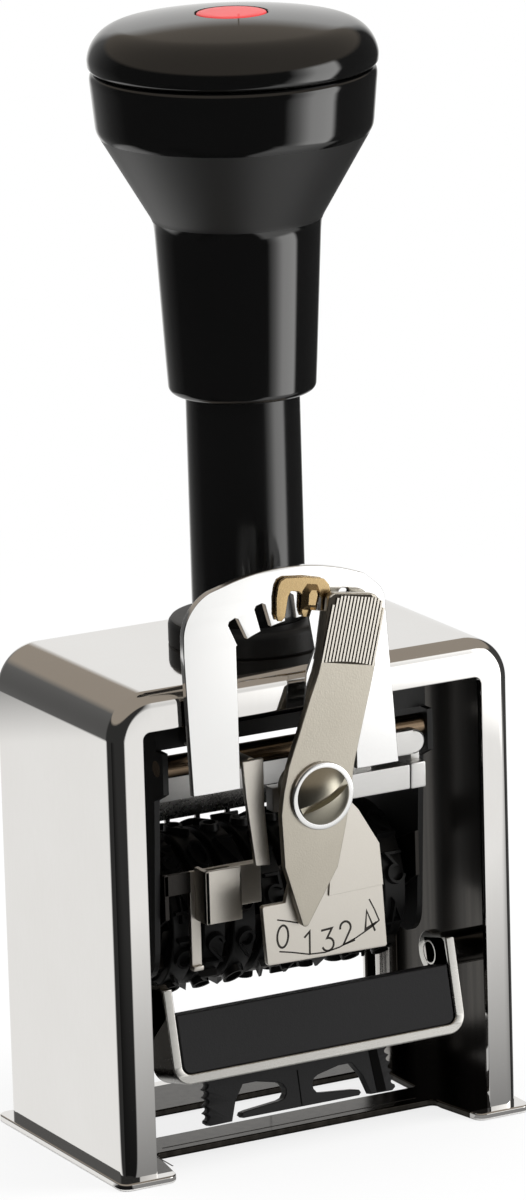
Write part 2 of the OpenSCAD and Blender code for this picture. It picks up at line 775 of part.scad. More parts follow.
// ---------------------------------------------------------------- sub-parts
housing();
base_plate();
guide_collar();
guide_tube();
guide_rods();
stirrup_pins();
return_spring();
knob_cap();
top_dot();
handle_grip();
plunger_rod();
carriage_bridge();
side_plate_left();
side_plate_right();
front_bracket();
rear_bar();
cross_shaft();
stop_strip();
wheel_shaft();
arch_plate();
arch_posts();
scale_plate();
pivot_boss();
pivot_ring();
pivot_screw();
detent_springs();
index_lever();
index_leaf();
index_tongue();
pawl_carrier();
feed_pawl();
number_wheel(0);  // number_wheel_1
number_wheel(1);  // number_wheel_2
number_wheel(2);  // number_wheel_3
number_wheel(3);  // number_wheel_4
number_wheel(4);  // number_wheel_5
number_wheel(5);  // number_wheel_6
number_wheel(6);  // number_wheel_7
number_wheel(7);  // number_wheel_8
ratchet(0);  // ratchet_1
ratchet(1);  // ratchet_2
ratchet(2);  // ratchet_3
ratchet(3);  // ratchet_4
ratchet(4);  // ratchet_5
ratchet(5);  // ratchet_6
ratchet(6);  // ratchet_7
ratchet(7);  // ratchet_8
ink_stirrup();
ink_cassette();
ink_pad();
cassette_clip();
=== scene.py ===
import bpy
import bmesh
import math
from mathutils import Matrix, Vector


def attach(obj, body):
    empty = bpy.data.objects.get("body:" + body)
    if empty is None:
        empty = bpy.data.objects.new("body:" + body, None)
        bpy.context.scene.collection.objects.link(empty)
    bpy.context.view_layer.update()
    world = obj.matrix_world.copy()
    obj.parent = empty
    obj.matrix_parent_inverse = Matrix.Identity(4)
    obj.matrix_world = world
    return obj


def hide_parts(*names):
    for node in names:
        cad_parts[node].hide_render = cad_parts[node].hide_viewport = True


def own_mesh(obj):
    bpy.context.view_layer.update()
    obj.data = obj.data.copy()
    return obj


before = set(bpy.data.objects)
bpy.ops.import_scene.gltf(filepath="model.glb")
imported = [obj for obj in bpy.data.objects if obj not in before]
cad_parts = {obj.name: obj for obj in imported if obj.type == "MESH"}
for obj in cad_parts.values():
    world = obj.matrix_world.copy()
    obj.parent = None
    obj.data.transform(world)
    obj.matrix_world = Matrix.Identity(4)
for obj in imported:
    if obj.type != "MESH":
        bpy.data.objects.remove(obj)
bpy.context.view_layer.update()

# the sizes below are millimetres in the maker's own layout: x and y from the handle axis,
# z from the top of the base plate; place() turns them into metres in the shared frame
layout = {"axisY": 2.0, "baseThickness": 1.0, "axleY": 2.15, "axleZ": 30.0}
nearAxis = 0.001  # turned profiles start this close to their axis


def place(x, y, z):
    return Vector((x, y + layout["axisY"], z + layout["baseThickness"])) * 0.001


def upright(a, b, c):
    # a drawing that stands on the front: a across, b up, c from front to back
    return place(a, c, b)


def aboutAxle(x, y, z):
    # drawn round the wheel shaft
    return place(x, y + layout["axleY"], z + layout["axleZ"])


def cosDeg(angle):
    return math.cos(math.radians(angle))


def sinDeg(angle):
    return math.sin(math.radians(angle))


def turned(a, b, angle):
    return a * cosDeg(angle) - b * sinDeg(angle), a * sinDeg(angle) + b * cosDeg(angle)


def oval(cx, cy, rx, ry, a0, a1, n=16):
    return [(cx + rx * cosDeg(a0 + (a1 - a0) * i / n), cy + ry * sinDeg(a0 + (a1 - a0) * i / n))
            for i in range(n + 1)]


def arcPoints(cx, cy, r, a0, a1, n):
    return oval(cx, cy, r, r, a0, a1, n)


# shader maths written as Python

class Flow:
    def __init__(self, tree, socket=None):
        self.tree = tree
        self.socket = socket

    def node(self, kind, settings=None, inputs=None, out=0):
        made = self.tree.nodes.new(kind)
        for key, value in (settings or {}).items():
            if key == "stops":
                ramp = made.color_ramp
                while len(ramp.elements) < len(value):
                    ramp.elements.new(0.5)
                for element, (position, colour) in zip(ramp.elements, value):
                    element.position = position
                    element.color = (*colour, 1.0)
            else:
                setattr(made, key, value)
        for key, value in (inputs or {}).items():
            if isinstance(value, Flow):
                self.tree.links.new(value.socket, made.inputs[key])
            else:
                made.inputs[key].default_value = value
        return Flow(self.tree, made.outputs[out])

    def maths(self, operation, other=0.0, swap=False, clamp=False):
        first, second = (other, self) if swap else (self, other)
        settings = {"operation": operation, "use_clamp": clamp}
        return self.node("ShaderNodeMath", settings, {0: first, 1: second})

    def __add__(self, other):
        return self.maths("ADD", other)

    def __radd__(self, other):
        return self.maths("ADD", other, True)

    def __sub__(self, other):
        return self.maths("SUBTRACT", other)

    def __rsub__(self, other):
        return self.maths("SUBTRACT", other, True)

    def __mul__(self, other):
        return self.maths("MULTIPLY", other)

    def __rmul__(self, other):
        return self.maths("MULTIPLY", other, True)

    def power(self, other):
        return self.maths("POWER", other)

    def over(self, level):
        return self.maths("GREATER_THAN", level)

    def held(self):
        return self.maths("ADD", 0.0, clamp=True)

    def below(self, level):
        return self.maths("LESS_THAN", level)

    def absolute(self):
        return self.maths("ABSOLUTE")

    def rise(self, low, high):
        # nothing at low, one at high, even in between
        return ((self - low) * (1 / (high - low))).held()

    def blend(self, low, high):
        return self.node("ShaderNodeMix", {"data_type": "RGBA"}, {0: self, 6: low, 7: high}, out=2)

    def where(self):
        return self.node("ShaderNodeTexCoord", out=3)

    def parts(self, vector):
        outputs = self.node("ShaderNodeSeparateXYZ", {}, {0: vector}).socket.node.outputs
        return [Flow(self.tree, outputs[k]) for k in range(3)]

    def close(self, kind="ShaderNodeOutputMaterial"):
        output = self.tree.nodes.new(kind)
        self.tree.links.new(self.socket, output.inputs[0])


def colour(r, g, b):
    return (r, g, b, 1.0)


def newMaterial(name):
    material = bpy.data.materials.new(name)
    material.use_nodes = True
    tree = material.node_tree
    tree.nodes.clear()
    return material, Flow(tree)


def closeMaterial(flow, sockets):
    flow.node("ShaderNodeBsdfPrincipled", {}, sockets).close()


def noise(flow, scale, detail=3.0, stretch=(1.0, 1.0, 1.0)):
    where = flow.node("ShaderNodeMapping", {}, {0: flow.where(), 3: stretch})
    return flow.node("ShaderNodeTexNoise", {}, {"Vector": where, "Scale": scale, "Detail": detail})


def bump(flow, height, strength, distance):
    return flow.node("ShaderNodeBump", {}, {"Strength": strength, "Distance": distance, "Height": height})


def metalFinish(name, low, high, rough, grain, stretch, lift, depth, scratch=0.0):
    # low and high are the two ends of the metal's tint, rough its least and greatest roughness
    material, flow = newMaterial(name)
    cloud = noise(flow, 90.0, 4.0)
    fine = noise(flow, grain, 2.0, stretch)
    tint = (cloud * 0.7 + fine * 0.3).held()
    spread = (cloud * 0.5 + fine * 0.5).held()
    height = fine
    if scratch:
        height = fine + noise(flow, 700.0, 1.0, (18.0, 1.0, 0.6)) * scratch
    closeMaterial(flow, {"Base Color": tint.blend(colour(*low), colour(*high)), "Metallic": 1.0,
                         "Roughness": rough[0] + spread * (rough[1] - rough[0]),
                         "Normal": bump(flow, height, lift, depth)})
    return material


# the room inside the shell in metres of the shared frame: rounded at the top, open below
shellInside = {"cornerX": 0.024, "cornerZ": 0.0608, "reach": 0.0054, "front": -0.0147, "back": 0.0187}


def insideMask(flow):
    # one inside the shell's rounded outline, nothing outside it
    s = shellInside
    x, y, z = flow.parts(flow.where())
    across = (x.absolute() - s["cornerX"]).maths("MAXIMUM", 0.0)
    up = (z - s["cornerZ"]).maths("MAXIMUM", 0.0)
    near = (across * across + up * up).below(s["reach"] ** 2)
    return near * y.over(s["front"]) * y.below(s["back"])


def shellFinish(name, low, high, rough, inside):
    # bright plating outside; inside the shell the base colour is darkened, with streaks, as painted shade
    material, flow = newMaterial(name)
    cloud = noise(flow, 90.0, 4.0)
    streaks = noise(flow, 900.0, 2.0, (1.0, 1.0, 0.02))
    fine = noise(flow, 1800.0, 2.0, (1, 1, 0.2))
    plated = (cloud * 0.7 + fine * 0.3).held().blend(colour(*low), colour(*high))
    paintedInsideShade = (streaks * 1.6 - 0.3).held().blend(colour(*[c * 0.35 for c in inside]), colour(*inside))
    mask = insideMask(flow)
    spread = (cloud * 0.5 + fine * 0.5).held()
    closeMaterial(flow, {"Base Color": mask.blend(plated, paintedInsideShade), "Metallic": 1.0,
                         "Roughness": rough[0] + spread * (rough[1] - rough[0]) + mask * 0.14,
                         "Normal": bump(flow, fine, 0.05, 0.000008)})
    return material


def plasticFinish(name, base, rough, specular, grain, lift, depth, satin=None):
    # the satin band is (low, high, extra roughness, tone): a band of heights with a duller skin, and there a
    # lighter tone as a painted reflection of the floor
    material, flow = newMaterial(name)
    cloud = noise(flow, 60.0, 4.0)
    fine = noise(flow, grain, 2.0)
    tone = cloud.blend(colour(*[c * 0.8 for c in base]), colour(*[min(1.0, c * 1.25) for c in base]))
    roughness = rough[0] + (cloud * 0.6 + fine * 0.4).held() * (rough[1] - rough[0])
    if satin:
        height = flow.parts(flow.where())[2]
        band = height.over(satin[0]) * height.below(satin[1])
        roughness = roughness + band * satin[2]
        # the band's lighter tone is a painted reflection
        tone = band.blend(tone, colour(satin[3], satin[3], satin[3]))
    closeMaterial(flow, {"Base Color": tone, "Metallic": 0.0, "Roughness": roughness,
                         "Specular IOR Level": specular, "Normal": bump(flow, fine, lift, depth)})
    return material


# two tints, least and greatest roughness, grain and its stretch, strength and depth of the bump, scratches
metals = {
    "plateChrome": ((0.88, 0.88, 0.875), (0.93, 0.93, 0.93), (0.10, 0.16), 2400, (1, 1, 1), 0.06, 1e-5),
    "stripChrome": ((0.48, 0.47, 0.45), (0.66, 0.65, 0.62), (0.16, 0.34), 2500, (0.08, 1, 1), 0.25, 2e-5),
    "leverNickel": ((0.44, 0.405, 0.34), (0.66, 0.62, 0.54), (0.24, 0.40), 4200, (1, 1, 1), 0.55, 3e-5),
    "scaleNickel": ((0.72, 0.68, 0.615), (0.83, 0.795, 0.735), (0.28, 0.44), 3600, (1, 1, 1), 0.35, 2e-5),
    "screwNickel": ((0.42, 0.39, 0.31), (0.58, 0.55, 0.46), (0.26, 0.40), 3200, (1, 1, 1), 0.2, 2e-5),
    # the ribs' brighter tint is a painted highlight on their tops
    "paintedRibHighlight": ((0.62, 0.58, 0.52), (0.78, 0.74, 0.67), (0.22, 0.32), 900, (1, 1, 1), 0.05, 4e-6),
    # the valleys' near-black is painted shade between the ribs
    "paintedValleyShade": ((0.045, 0.038, 0.030), (0.075, 0.066, 0.054), (0.4, 0.6), 900, (1, 1, 1), 0.05, 4e-6),
    "crossBronze": ((0.16, 0.115, 0.075), (0.30, 0.22, 0.15), (0.16, 0.30), 2600, (0.2, 1, 1), 0.25, 2e-5),
    "tongueBrass": ((0.40, 0.27, 0.12), (0.66, 0.50, 0.28), (0.20, 0.34), 3000, (1, 1, 1), 0.3, 2e-5),
    "barAluminium": ((0.60, 0.595, 0.585), (0.78, 0.775, 0.765), (0.28, 0.46), 2600, (0.25, 1, 1), 0.25, 2e-5,
                     0.3),
    "turnedSteel": ((0.46, 0.44, 0.42), (0.62, 0.60, 0.58), (0.14, 0.26), 3000, (1, 1, 3), 0.25, 2e-5),
    "springSteel": ((0.34, 0.33, 0.32), (0.46, 0.45, 0.44), (0.2, 0.34), 3000, (1, 1, 1), 0.25, 2e-5),
    # near-black steel: the ratchets' blackened finish, and painted shade on the pawl carrier
    "blackenedSteelAndShade": ((0.030, 0.028, 0.027), (0.060, 0.056, 0.052), (0.28, 0.46), 3400, (1, 1, 1), 0.35, 3e-5),
}
# tint, least and greatest roughness, specular level, grain, strength and depth of the bump, satin band with its
# painted reflection
plastics = {
    "handleBlack": ((0.003, 0.003, 0.003), (0.05, 0.10), 0.85, 2200, 0.02, 6e-6, (0.1243, 0.1357, 0.34, 0.010)),
    "tubeBlack": ((0.004, 0.004, 0.004), (0.10, 0.18), 0.7, 2600, 0.04, 1e-5),
    "castBlack": ((0.008, 0.008, 0.008), (0.34, 0.5), 0.35, 2600, 0.35, 4e-5),
    "typeBlack": ((0.006, 0.006, 0.006), (0.34, 0.5), 0.3, 2600, 0.3, 3e-5),
    "cassetteBlack": ((0.010, 0.010, 0.011), (0.38, 0.55), 0.3, 4200, 0.45, 3e-5),
    # near-black strips for the clip's grooves: painted shade
    "grooveShadeBlack": ((0.0015, 0.0015, 0.0015), (0.6, 0.8), 0.1, 4200, 0.3, 2e-5),
    "padFelt": ((0.010, 0.010, 0.030), (0.85, 0.98), 0.1, 2600, 1.0, 2e-4),
    "dotRed": ((0.72, 0.045, 0.050), (0.24, 0.36), 0.4, 2800, 0.05, 1e-5),
    # near-black strips standing for engraved grooves: painted shade
    "engravedGrooveShade": ((0.030, 0.026, 0.022), (0.5, 0.7), 0.2, 3000, 0.3, 2e-5),
}
# the last tint is the painted shade inside the shell
finishes = {"shellChrome": shellFinish("shellChrome", (0.80, 0.785, 0.765), (0.86, 0.85, 0.84), (0.035, 0.075),
                                       (0.055, 0.050, 0.044))}
for finishName, values in metals.items():
    finishes[finishName] = metalFinish(finishName, *values)
for finishName, values in plastics.items():
    finishes[finishName] = plasticFinish(finishName, *values)
print("finishes ready:", len(finishes))


# mesh helpers

def linked(name, data):
    shown = bpy.data.objects.new(name, data)
    bpy.context.collection.objects.link(shown)
    return shown


def evaluatedMesh(piece):
    graph = bpy.context.evaluated_depsgraph_get()
    return bpy.data.meshes.new_from_object(piece.evaluated_get(graph))


def shadeSmooth(mesh, sharp):
    mesh.shade_smooth()
    mesh.set_sharp_from_angle(angle=math.radians(sharp))


def meshObject(name, vertices, faces, smooth=True, sharp=35.0):
    mesh = bpy.data.meshes.new(name)
    mesh.from_pydata([tuple(v) for v in vertices], [], faces)
    mesh.validate()
    work = bmesh.new()
    work.from_mesh(mesh)
    bmesh.ops.remove_doubles(work, verts=work.verts, dist=1e-7)
    bmesh.ops.recalc_face_normals(work, faces=work.faces)
    work.to_mesh(mesh)
    work.free()
    mesh.update()
    if smooth:
        shadeSmooth(mesh, sharp)
    return linked(name, mesh)


def applied(piece):
    # turns the evaluated object into a plain mesh and drops its modifiers
    mesh, old = evaluatedMesh(piece), piece.data
    piece.modifiers.clear()
    piece.data = mesh
    bpy.data.meshes.remove(old)


def dress(piece, finish, body, slot, *nodes):
    # broad faces keep their own flat shading, only the rounded edges blend
    weighted = piece.modifiers.new("weights", "WEIGHTED_NORMAL")
    weighted.keep_sharp = True
    applied(piece)
    piece.data.materials.clear()
    piece.data.materials.append(finishes[finish])
    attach(piece, body)
    if nodes:
        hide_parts(*nodes)


def joined(name, pieces):
    # several plain meshes into one object
    work = bmesh.new()
    for piece in pieces:
        work.from_mesh(piece.data)
        bpy.data.objects.remove(piece)
    mesh = bpy.data.meshes.new(name)
    work.to_mesh(mesh)
    work.free()
    shadeSmooth(mesh, 32.0)
    return linked(name, mesh)


def bandFaces(rows, count, closedRows=True, closedRow=True):
    # four-sided faces between neighbouring rows of count points
    faces = []
    for s in range(rows if closedRows else rows - 1):
        t = (s + 1) % rows
        for p in range(count if closedRow else count - 1):
            q = (p + 1) % count
            faces.append((s * count + p, t * count + p, t * count + q, s * count + q))
    return faces


def lathe(name, profile, segments=96, where=place, sharp=30.0):
    # profile is a closed ring of (r, h); where turns (x, y, h) into the frame
    vertices = []
    for s in range(segments):
        a = 2 * math.pi * s / segments
        vertices += [where(r * math.cos(a), r * math.sin(a), h) for r, h in profile]
    return meshObject(name, vertices, bandFaces(segments, len(profile)), sharp=sharp)


def sheet(name, loops, low, high, soft=0.15, where=upright, steps=2):
    # flat piece with rounded edges: loops are outlines in (a, b), low and high its two faces along c
    curve = bpy.data.curves.new(name, "CURVE")
    curve.dimensions = "2D"
    curve.fill_mode = "BOTH"
    curve.extrude = (high - low) / 2 - soft
    curve.bevel_depth = soft
    curve.bevel_resolution = steps
    curve.offset = -soft
    for loop in loops:
        spline = curve.splines.new("POLY")
        spline.points.add(len(loop) - 1)
        for point, (a, b) in zip(spline.points, loop):
            point.co = (a, b, 0, 1)
        spline.use_cyclic_u = True
    holder = linked(name + "Outline", curve)
    flat = evaluatedMesh(holder)
    middle = (low + high) / 2
    vertices = [where(v.co.x, v.co.y, middle + v.co.z) for v in flat.vertices]
    faces = [tuple(f.vertices) for f in flat.polygons]
    bpy.data.objects.remove(holder)
    bpy.data.curves.remove(curve)
    bpy.data.meshes.remove(flat)
    return meshObject(name, vertices, faces, sharp=40.0)


def block(name, x1, x2, y1, y2, z1, z2, soft=0.2, where=place):
    # box with softened edges
    work = bmesh.new()
    bmesh.ops.create_cube(work, size=1.0)
    for v in work.verts:
        v.co = Vector((x1 + (v.co.x + 0.5) * (x2 - x1), y1 + (v.co.y + 0.5) * (y2 - y1),
                       z1 + (v.co.z + 0.5) * (z2 - z1)))
    bmesh.ops.bevel(work, geom=list(work.edges), offset=soft, segments=2, profile=0.6, affect="EDGES")
    vertices = [where(*v.co) for v in work.verts]
    faces = [tuple(v.index for v in f.verts) for f in work.faces]
    work.free()
    return meshObject(name, vertices, faces, sharp=40.0)


def rod(name, start, end, r, soft=0.2, segments=40):
    # round bar between two layout points with softened ends
    start, end = Vector(start), Vector(end)
    axis = (end - start).normalized()
    side = axis.orthogonal().normalized()
    other = axis.cross(side)
    length = (end - start).length
    profile = [(r - soft, 0), (r, soft), (r, length - soft), (r - soft, length)]
    vertices, count = [], len(profile)
    for s in range(segments):
        a = 2 * math.pi * s / segments
        vertices += [place(*(start + side * (p * math.cos(a)) + other * (p * math.sin(a)) + axis * h))
                     for p, h in profile]
    faces = bandFaces(segments, count, True, False)
    faces.append(tuple(s * count for s in range(segments)))
    faces.append(tuple(s * count + count - 1 for s in range(segments)))
    return meshObject(name, vertices, faces, sharp=30.0)


# node trees for what repeats

class Tree:
    def __init__(self, name, inputs):
        self.group = bpy.data.node_groups.new(name, "GeometryNodeTree")
        self.group.interface.new_socket("Geometry", in_out="OUTPUT", socket_type="NodeSocketGeometry")
        self.named = {}
        for key, (kind, value) in inputs.items():
            made = self.group.interface.new_socket(key, in_out="INPUT", socket_type=kind)
            made.default_value = value
            self.named[key] = made.identifier
        self.source = self.group.nodes.new("NodeGroupInput")
        self.sink = self.group.nodes.new("NodeGroupOutput")

    def read(self, key):
        return self.source.outputs[key]

    def node(self, kind, settings=None, inputs=None, out=0):
        made = self.group.nodes.new(kind)
        for key, value in (settings or {}).items():
            setattr(made, key, value)
        for key, value in (inputs or {}).items():
            if isinstance(value, bpy.types.NodeSocket):
                self.group.links.new(value, made.inputs[key])
            else:
                made.inputs[key].default_value = value
        return made.outputs[out]

    def maths(self, operation, first, second=0.0):
        return self.node("ShaderNodeMath", {"operation": operation}, {0: first, 1: second})

    def times(self, first, second):
        return self.maths("MULTIPLY", first, second)

    def less(self, first, second):
        return self.maths("SUBTRACT", first, second)

    def vector(self, **values):
        return self.node("ShaderNodeCombineXYZ", {}, {key.upper(): value for key, value in values.items()})

    def close(self, geometry, material):
        real = self.node("GeometryNodeRealizeInstances", {}, {0: geometry})
        done = self.node("GeometryNodeSetMaterial", {}, {"Geometry": real, "Material": material})
        self.group.links.new(done, self.sink.inputs[0])

    def grow(self, name, values, where):
        # a piece made by the tree, with its place in its mesh
        holder = linked(name, bpy.data.meshes.new(name))
        modifier = holder.modifiers.new("grow", "NODES")
        modifier.node_group = self.group
        for key, value in values.items():
            modifier[self.named[key]] = value
        made = evaluatedMesh(holder)
        holder.modifiers.clear()
        for v in made.vertices:
            v.co = where(*v.co)
        holder.data = made
        made.update()
        shadeSmooth(made, 32.0)
        return holder


floatSocket, wholeSocket = "NodeSocketFloat", "NodeSocketInt"


def ribTree():
    # a row of flat ribs whose ends follow the rounded pad, tinted brighter than the lever as a painted highlight
    # on their tops
    tree = Tree("thumbRibs", {
        "count": (wholeSocket, 16), "pitch": (floatSocket, 0.512), "rib": (floatSocket, 0.19),
        "fill": (floatSocket, 0.56), "length": (floatSocket, 9.1), "drop": (floatSocket, 1.3),
        "dip": (floatSocket, 0.35)})
    pitch = tree.read("pitch")
    span = tree.times(pitch, tree.less(tree.read("count"), 1.0))
    row = tree.node("GeometryNodeMeshLine", {}, {"Count": tree.read("count"), "Offset": tree.vector(x=pitch)})
    share = tree.maths("DIVIDE", tree.times(tree.node("GeometryNodeInputIndex"), pitch), span)
    across = tree.maths("ABSOLUTE", tree.less(tree.times(share, 2.0), 1.0))
    ends = tree.times(tree.maths("POWER", across, 9.0), tree.read("drop"))
    dip = tree.times(tree.less(1.0, tree.maths("POWER", across, 2.0)), tree.read("dip"))
    size = tree.vector(x=tree.times(pitch, tree.read("fill")), y=tree.times(tree.read("rib"), 2.0), z=1.0)
    rib = tree.node("GeometryNodeMeshCube", {}, {"Size": size})
    rib = tree.node("GeometryNodeTransform", {}, {"Geometry": rib, "Translation": (0, 0, 0.5)})
    length = tree.less(tree.less(tree.read("length"), ends), dip)
    raised = tree.node("GeometryNodeSetPosition", {}, {"Geometry": row, "Offset": tree.vector(z=dip)})
    ribs = tree.node("GeometryNodeInstanceOnPoints", {}, {
        "Points": raised, "Instance": rib, "Scale": tree.vector(x=1.0, y=1.0, z=length)})
    tree.close(ribs, finishes["paintedRibHighlight"])
    return tree


def coilTree():
    # round wire wound into a spring
    tree = Tree("coil", {"turns": (floatSocket, 15.0), "radius": (floatSocket, 4.8), "height": (floatSocket, 60.0),
                         "wire": (floatSocket, 0.5)})
    path = tree.node("GeometryNodeCurveSpiral", {}, {
        "Resolution": 32, "Rotations": tree.read("turns"), "Start Radius": tree.read("radius"),
        "End Radius": tree.read("radius"), "Height": tree.read("height")})
    ring = tree.node("GeometryNodeCurvePrimitiveCircle", {}, {"Resolution": 10, "Radius": tree.read("wire")})
    wire = tree.node("GeometryNodeCurveToMesh", {}, {"Curve": path, "Profile Curve": ring, "Fill Caps": True})
    tree.close(wire, finishes["springSteel"])
    return tree


def ratchetTree():
    # saw-toothed ring: each tooth falls in even steps from its tip to the root, then jumps back
    pointsOfTooth = 6.0
    tree = Tree("ratchet", {"teeth": (wholeSocket, 10), "tip": (floatSocket, 9.5), "root": (floatSocket, 8.2),
                            "bore": (floatSocket, 2.05), "width": (floatSocket, 1.1)})
    count = tree.times(tree.read("teeth"), pointsOfTooth)
    ring = tree.node("GeometryNodeCurvePrimitiveCircle", {}, {"Resolution": count, "Radius": 1.0})
    step = tree.maths("MODULO", tree.node("GeometryNodeInputIndex"), pointsOfTooth)
    fall = tree.maths("DIVIDE", tree.less(tree.read("tip"), tree.read("root")), pointsOfTooth - 1.0)
    radius = tree.less(tree.read("tip"), tree.times(step, fall))
    reach = tree.node("ShaderNodeVectorMath", {"operation": "SCALE"}, {
        0: tree.node("GeometryNodeInputPosition"), "Scale": radius})
    shaped = tree.node("GeometryNodeSetPosition", {}, {"Geometry": ring, "Position": reach})
    bore = tree.node("GeometryNodeCurvePrimitiveCircle", {}, {"Resolution": 32, "Radius": tree.read("bore")})
    both = tree.node("GeometryNodeJoinGeometry", {}, {})
    tree.group.links.new(shaped, both.node.inputs[0])
    tree.group.links.new(bore, both.node.inputs[0])
    flat = tree.node("GeometryNodeFillCurve", {"mode": "NGONS"}, {"Curve": both})
    thick = tree.node("GeometryNodeExtrudeMesh", {"mode": "FACES"}, {
        "Mesh": flat, "Offset Scale": tree.read("width"), "Individual": False})
    back = tree.node("GeometryNodeFlipFaces", {}, {0: flat})
    closed = tree.node("GeometryNodeJoinGeometry", {}, {})
    tree.group.links.new(thick, closed.node.inputs[0])
    tree.group.links.new(back, closed.node.inputs[0])
    welded = tree.node("GeometryNodeMergeByDistance", {}, {0: closed, "Distance": 0.0005})
    tree.close(welded, finishes["blackenedSteelAndShade"])
    return tree


def typeTree(figures):
    # ten raised figures round one wheel, picked in turn from a collection
    tree = Tree("typeRing", {"count": (wholeSocket, 10), "radius": (floatSocket, 10.4), "first": (wholeSocket, 0)})
    ring = tree.node("GeometryNodeMeshCircle", {}, {"Vertices": tree.read("count"), "Radius": tree.read("radius")})
    index = tree.node("GeometryNodeInputIndex")
    pick = tree.maths("MODULO", tree.maths("ADD", index, tree.read("first")), 10.0)
    spin = tree.vector(z=tree.times(index, math.radians(36.0)))
    held = tree.node("GeometryNodeCollectionInfo", {}, {
        0: figures, "Separate Children": True, "Reset Children": True})
    placed = tree.node("GeometryNodeInstanceOnPoints", {}, {
        "Points": ring, "Instance": held, "Pick Instance": True, "Instance Index": pick, "Rotation": spin})
    tree.close(placed, finishes["typeBlack"])
    return tree


# strokes of the figures, in a box one unit high and 0.6 wide, y up

figureStrokes = {
    0: [oval(0.3, 0.5, 0.25, 0.46, 0, 360, 28)],
    1: [[(0.12, 0.76), (0.34, 0.96), (0.34, 0.02)]],
    2: [oval(0.3, 0.7, 0.24, 0.26, 170, -35) + [(0.05, 0.04), (0.56, 0.04)]],
    3: [[(0.06, 0.95), (0.52, 0.95), (0.26, 0.58)] + oval(0.28, 0.31, 0.26, 0.27, 80, -160)],
    4: [[(0.40, 0.02), (0.40, 0.96), (0.04, 0.28), (0.58, 0.28)]],
    5: [[(0.52, 0.95), (0.12, 0.95), (0.09, 0.54)] + oval(0.28, 0.32, 0.26, 0.29, 120, -155)],
    6: [[(0.44, 0.95), (0.14, 0.52)] + oval(0.3, 0.30, 0.24, 0.27, 160, 520, 26)],
    7: [[(0.05, 0.95), (0.54, 0.95), (0.22, 0.02)]],
    8: [oval(0.3, 0.74, 0.20, 0.21, 0, 360, 24), oval(0.3, 0.27, 0.25, 0.25, 0, 360, 24)],
    9: [[(0.16, 0.03), (0.46, 0.46)] + oval(0.3, 0.68, 0.24, 0.27, -20, -380, 26)],
}


def ribbon(points, width, low, high, taper=0.0):
    # a stroke as a low bar with square-cut joints; taper narrows its top
    vertices, faces, n = [], [], len(points)
    for i, p in enumerate(points):
        here = Vector(p)
        before = Vector(points[max(0, i - 1)])
        after = Vector(points[min(n - 1, i + 1)])
        ahead = (after - here).normalized() if after != here else None
        behind = (here - before).normalized() if here != before else None
        along = ((ahead or behind) + (behind or ahead)).normalized()
        side = Vector((-along.y, along.x))
        stretch = 1.0 / max(0.45, abs(side.dot(Vector((-(ahead or behind).y, (ahead or behind).x)))))
        end = along * (width / 2 * (-1 if i == 0 else 1 if i == n - 1 else 0)) * 0.8
        foot, crown = width / 2, width / 2 - taper
        for w, h in ((foot, low), (crown, high), (-crown, high), (-foot, low)):
            spot = here + end + side * w * stretch
            vertices.append((spot.x, spot.y, h))
    for i in range(n - 1):
        a, b = i * 4, i * 4 + 4
        for k in range(4):
            m = (k + 1) % 4
            faces.append((a + k, a + m, b + m, b + k))
    faces.append((3, 2, 1, 0))
    faces.append(tuple(n * 4 - 4 + k for k in range(4)))
    return vertices, faces


def figureMesh(name, figure, size, width, low, high, where, taper=0.0):
    vertices, faces = [], []
    for stroke in figureStrokes[figure]:
        points = [((x - 0.3) * size, (y - 0.5) * size) for x, y in stroke]
        more, sides = ribbon(points, width, low, high, taper)
        faces += [tuple(len(vertices) + k for k in face) for face in sides]
        vertices += more
    return meshObject(name, [where(*v) for v in vertices], faces, smooth=False)


print("helpers ready")

# housing: one bent shell, swept round the front outline

housing = {"halfWidth": 30.0, "halfDepth": 17.4, "height": 65.8, "sheet": 1.2, "cornerRadius": 6.0,
           "edgeRadius": 2.0, "stile": 4.6, "rail": 5.2, "windowCorner": 1.0, "lip": 0.18, "cornerSteps": 16,
           "topSteps": 8}


def housingStations():
    # round the front outline: middle of the outer corner, middle of the window corner, direction outwards
    s = housing
    cx, cz = s["halfWidth"] - s["cornerRadius"], s["height"] - s["cornerRadius"]
    wx, wz = s["halfWidth"] - s["stile"] - s["windowCorner"], s["height"] - s["rail"] - s["windowCorner"]
    levels, corner, top = (0.0, 0.33, 0.66), s["cornerSteps"], s["topSteps"]
    stations = [((-cx, cz * level), (-wx, wz * level), 180.0) for level in levels]
    stations += [((-cx, cz), (-wx, wz), 180.0 - 90.0 * i / corner) for i in range(corner + 1)]
    stations += [((x * cx, cz), (x * wx, wz), 90.0) for x in (-1 + 2 * i / top for i in range(1, top))]
    stations += [((cx, cz), (wx, wz), 90.0 - 90.0 * i / corner) for i in range(corner + 1)]
    return stations + [((cx, cz * level), (wx, wz * level), 0.0) for level in reversed(levels)]


